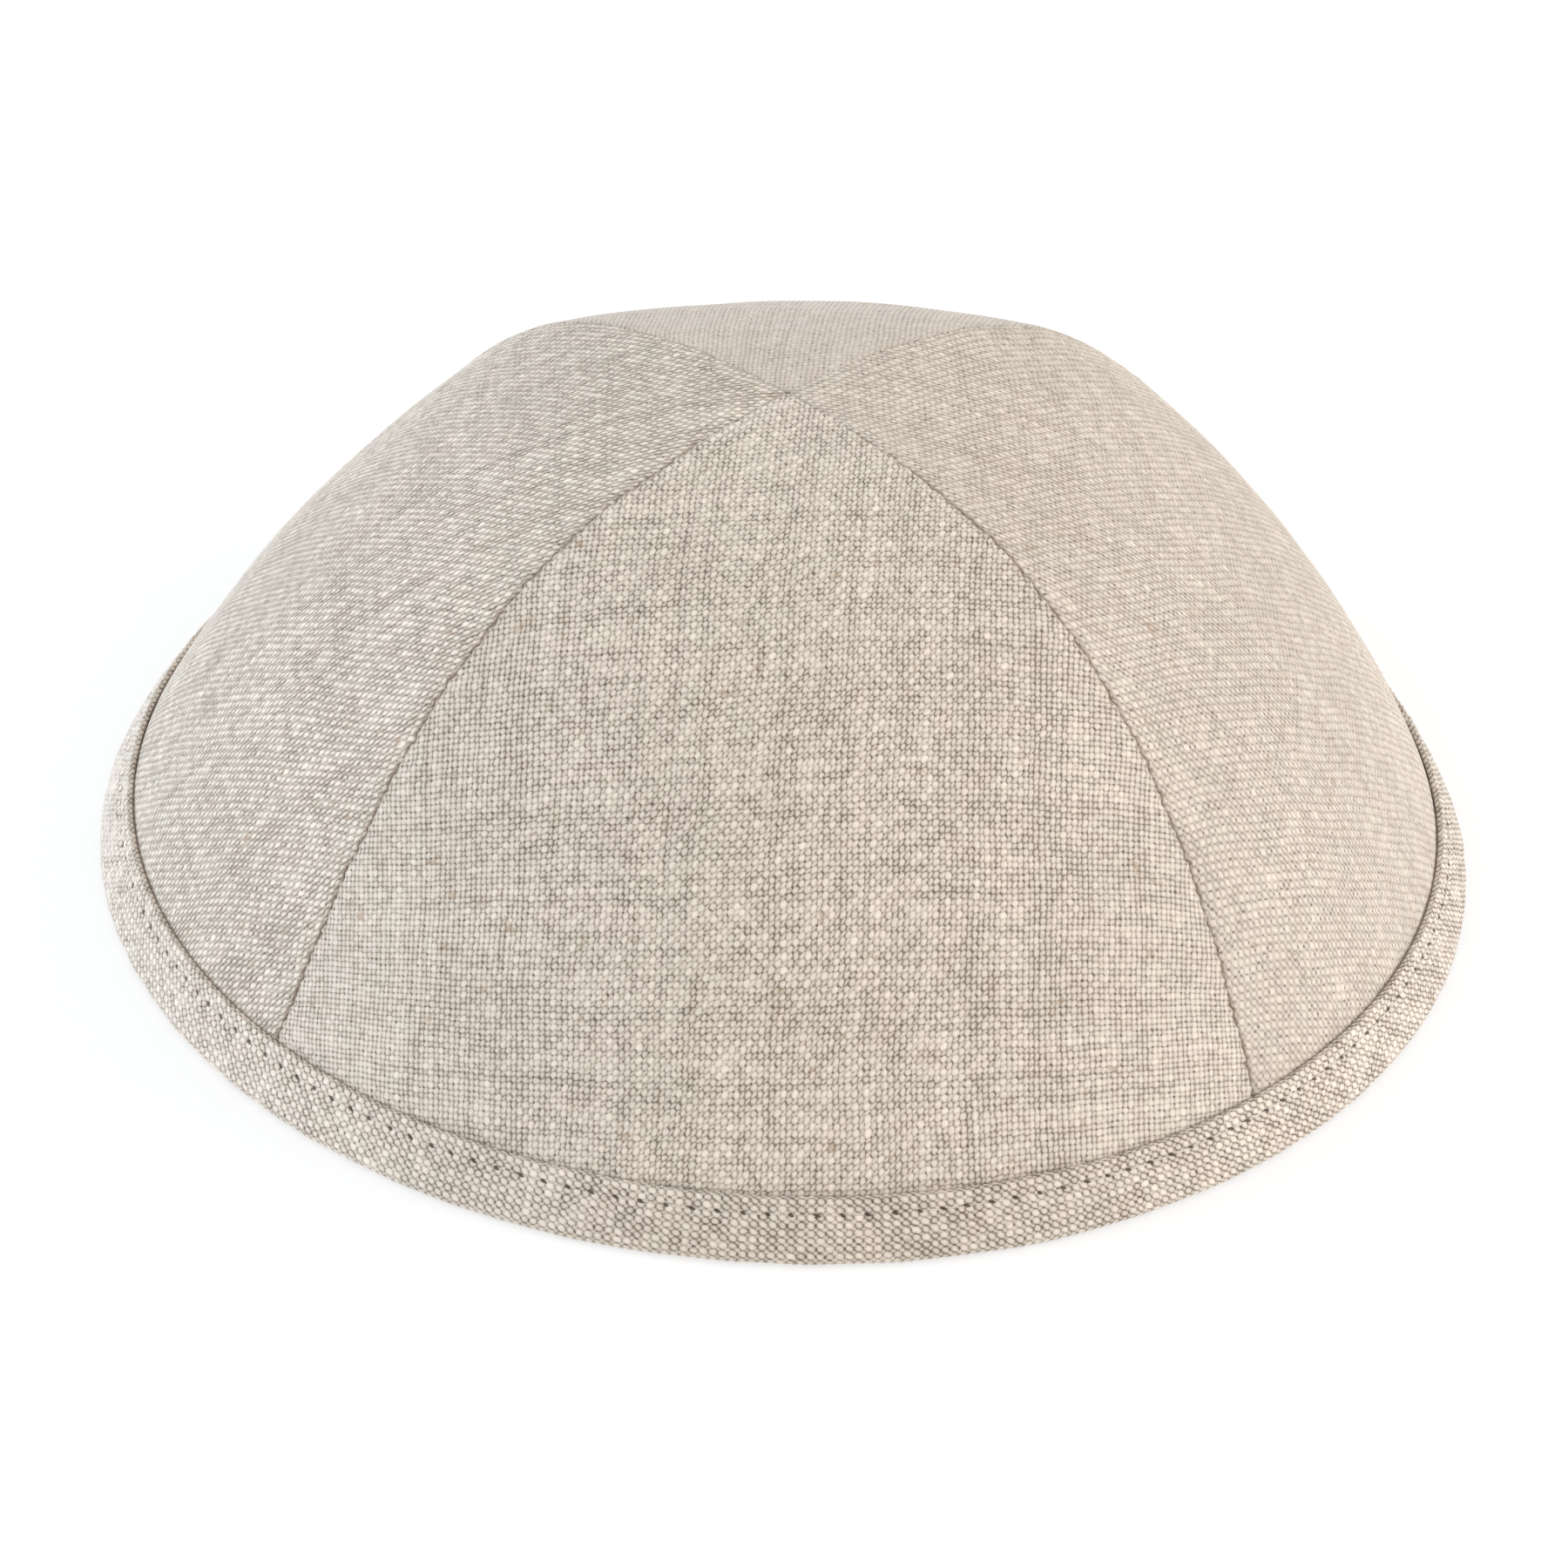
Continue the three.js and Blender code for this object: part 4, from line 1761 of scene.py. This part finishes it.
@dataclass(frozen=True)
class Softbox:
    """One large square light that faces the cap, with its side in metres and its power in watts."""

    name: str
    place: tuple[float, float, float]
    power: float
    colour: Colour
    side: float = 1.0

    def add(self) -> None:
        """Adds the light to the scene."""
        light = bpy.data.lights.new(self.name, "AREA")
        light.shape = "SQUARE"
        light.size = self.side
        light.energy = self.power
        light.color = self.colour.value
        lamp = bpy.data.objects.new(self.name, light)
        lamp.location = self.place
        lamp.rotation_mode = "QUATERNION"
        lamp.rotation_quaternion = (Vector((0.0, 0.0, 0.03)) - Vector(self.place)).to_track_quat("-Z", "Y")
        bpy.context.scene.collection.objects.link(lamp)


@dataclass
class Studio:
    """The camera at the photo's angle, a pale floor and soft light."""

    elevation: float = math.radians(34.9286)
    azimuth: float = math.radians(-1.0961)
    roll: float = math.radians(-2.5571)
    distance: float = 756.25 * MM
    target: tuple[float, float, float] = (-0.36 * MM, 0.0, 7.56 * MM)
    pixels_per_metre: float = 9211.0
    picture: int = 1800
    sensor: float = 36.0
    floor_drop: float = 0.05 * MM
    floor_glow: float = 0.58
    sky_strength: float = 0.965
    softboxes: tuple[Softbox, ...] = (
        Softbox("left_softbox", (-1.55, 0.0, 0.36), 21.5, Colour.COOL_LIGHT),
        Softbox("right_softbox", (1.55, 0.0, 0.36), 21.0, Colour.WHITE_LIGHT),
        Softbox("front_softbox", (0.0, -1.35, 0.85), 2.2, Colour.WHITE_LIGHT),
    )

    def set_camera(self) -> None:
        """Sets the camera that took the photo."""
        e, a = self.elevation, self.azimuth
        forward = Vector((math.cos(e) * math.sin(a), math.cos(e) * math.cos(a), -math.sin(e)))
        right = Vector((math.cos(a), -math.sin(a), 0.0))
        up = Vector((math.sin(e) * math.sin(a), math.sin(e) * math.cos(a), math.cos(e)))
        turned_right = right * math.cos(self.roll) - up * math.sin(self.roll)
        turned_up = right * math.sin(self.roll) + up * math.cos(self.roll)
        lens = bpy.data.cameras.new("photo_camera")
        lens.sensor_width = self.sensor
        lens.lens = self.pixels_per_metre * self.distance / self.picture * self.sensor
        lens.clip_start = 0.05
        lens.clip_end = 20.0
        camera = bpy.data.objects.new("photo_camera", lens)
        turn = Matrix((turned_right, turned_up, -forward)).transposed().to_4x4()
        camera.matrix_world = Matrix.Translation(Vector(self.target) - forward * self.distance) @ turn
        bpy.context.scene.collection.objects.link(camera)
        bpy.context.scene.camera = camera

    def lay_floor(self) -> None:
        """Lays the pale floor."""
        shape = bmesh.new()
        bmesh.ops.create_grid(shape, x_segments=1, y_segments=1, size=8.0)
        floor = finish_mesh(shape, "floor")
        floor.data.transform(Matrix.Translation((0.0, 0.0, -self.floor_drop)))
        material, bench = new_material("floor_paper")
        bench.surface({
            "Base Color": Colour.FLOOR.value,
            "Roughness": 1.0,
            "Specular IOR Level": 0.0,
            "Emission Color": Colour.SKY.value,
            "Emission Strength": self.floor_glow,
        })
        floor.data.materials.append(material)

    def light(self) -> None:
        """Sets the sky and the softboxes."""
        world = bpy.data.worlds.new("studio")
        world.use_nodes = True
        bench = Bench(world.node_tree)
        sky = bench.node("ShaderNodeBackground", {"Color": Colour.SKY.value, "Strength": self.sky_strength})
        bench.node("ShaderNodeOutputWorld", {"Surface": sky.outputs[0]})
        bpy.context.scene.world = world
        for softbox in self.softboxes:
            softbox.add()


def main() -> None:
    """Builds the studio and the cap in order."""
    logging.basicConfig(level=logging.INFO, format="%(message)s")
    bpy.context.scene.view_settings.view_transform = "Standard"
    studio = Studio()
    studio.set_camera()
    studio.lay_floor()
    studio.light()
    shape = CapShape()
    cut = FlatCut(shape)
    crown_linen = LinenFinish("crown_linen").make()
    for facing in Facing:
        panel = CrownPanel(facing, cut, PANEL_GRAIN[facing])
        piece = panel.build()
        panel.dress(piece, crown_linen)
        log.info("%s: %d faces", piece.name, len(piece.data.polygons))
    band = RimBand(BandSection(shape))
    piece = band.build()
    band.dress(piece, LinenFinish("band_linen", warp_size=(0.60, 0.78, 0.0),
                                  weft_size=(0.42, 0.42, 0.0), stitched=True).make())
    log.info("%s: %d faces", piece.name, len(piece.data.polygons))
    stitches = Topstitching(band)
    thread = stitches.build()
    stitches.dress(thread, ThreadFinish().make())
    log.info("%s: %d faces", thread.name, len(thread.data.polygons))
    width, length = band.flat_size()
    log.info("%s: cut %.1f x %.1f mm", piece.name, width / MM, length / MM)


if __name__ == "__main__":
    main()
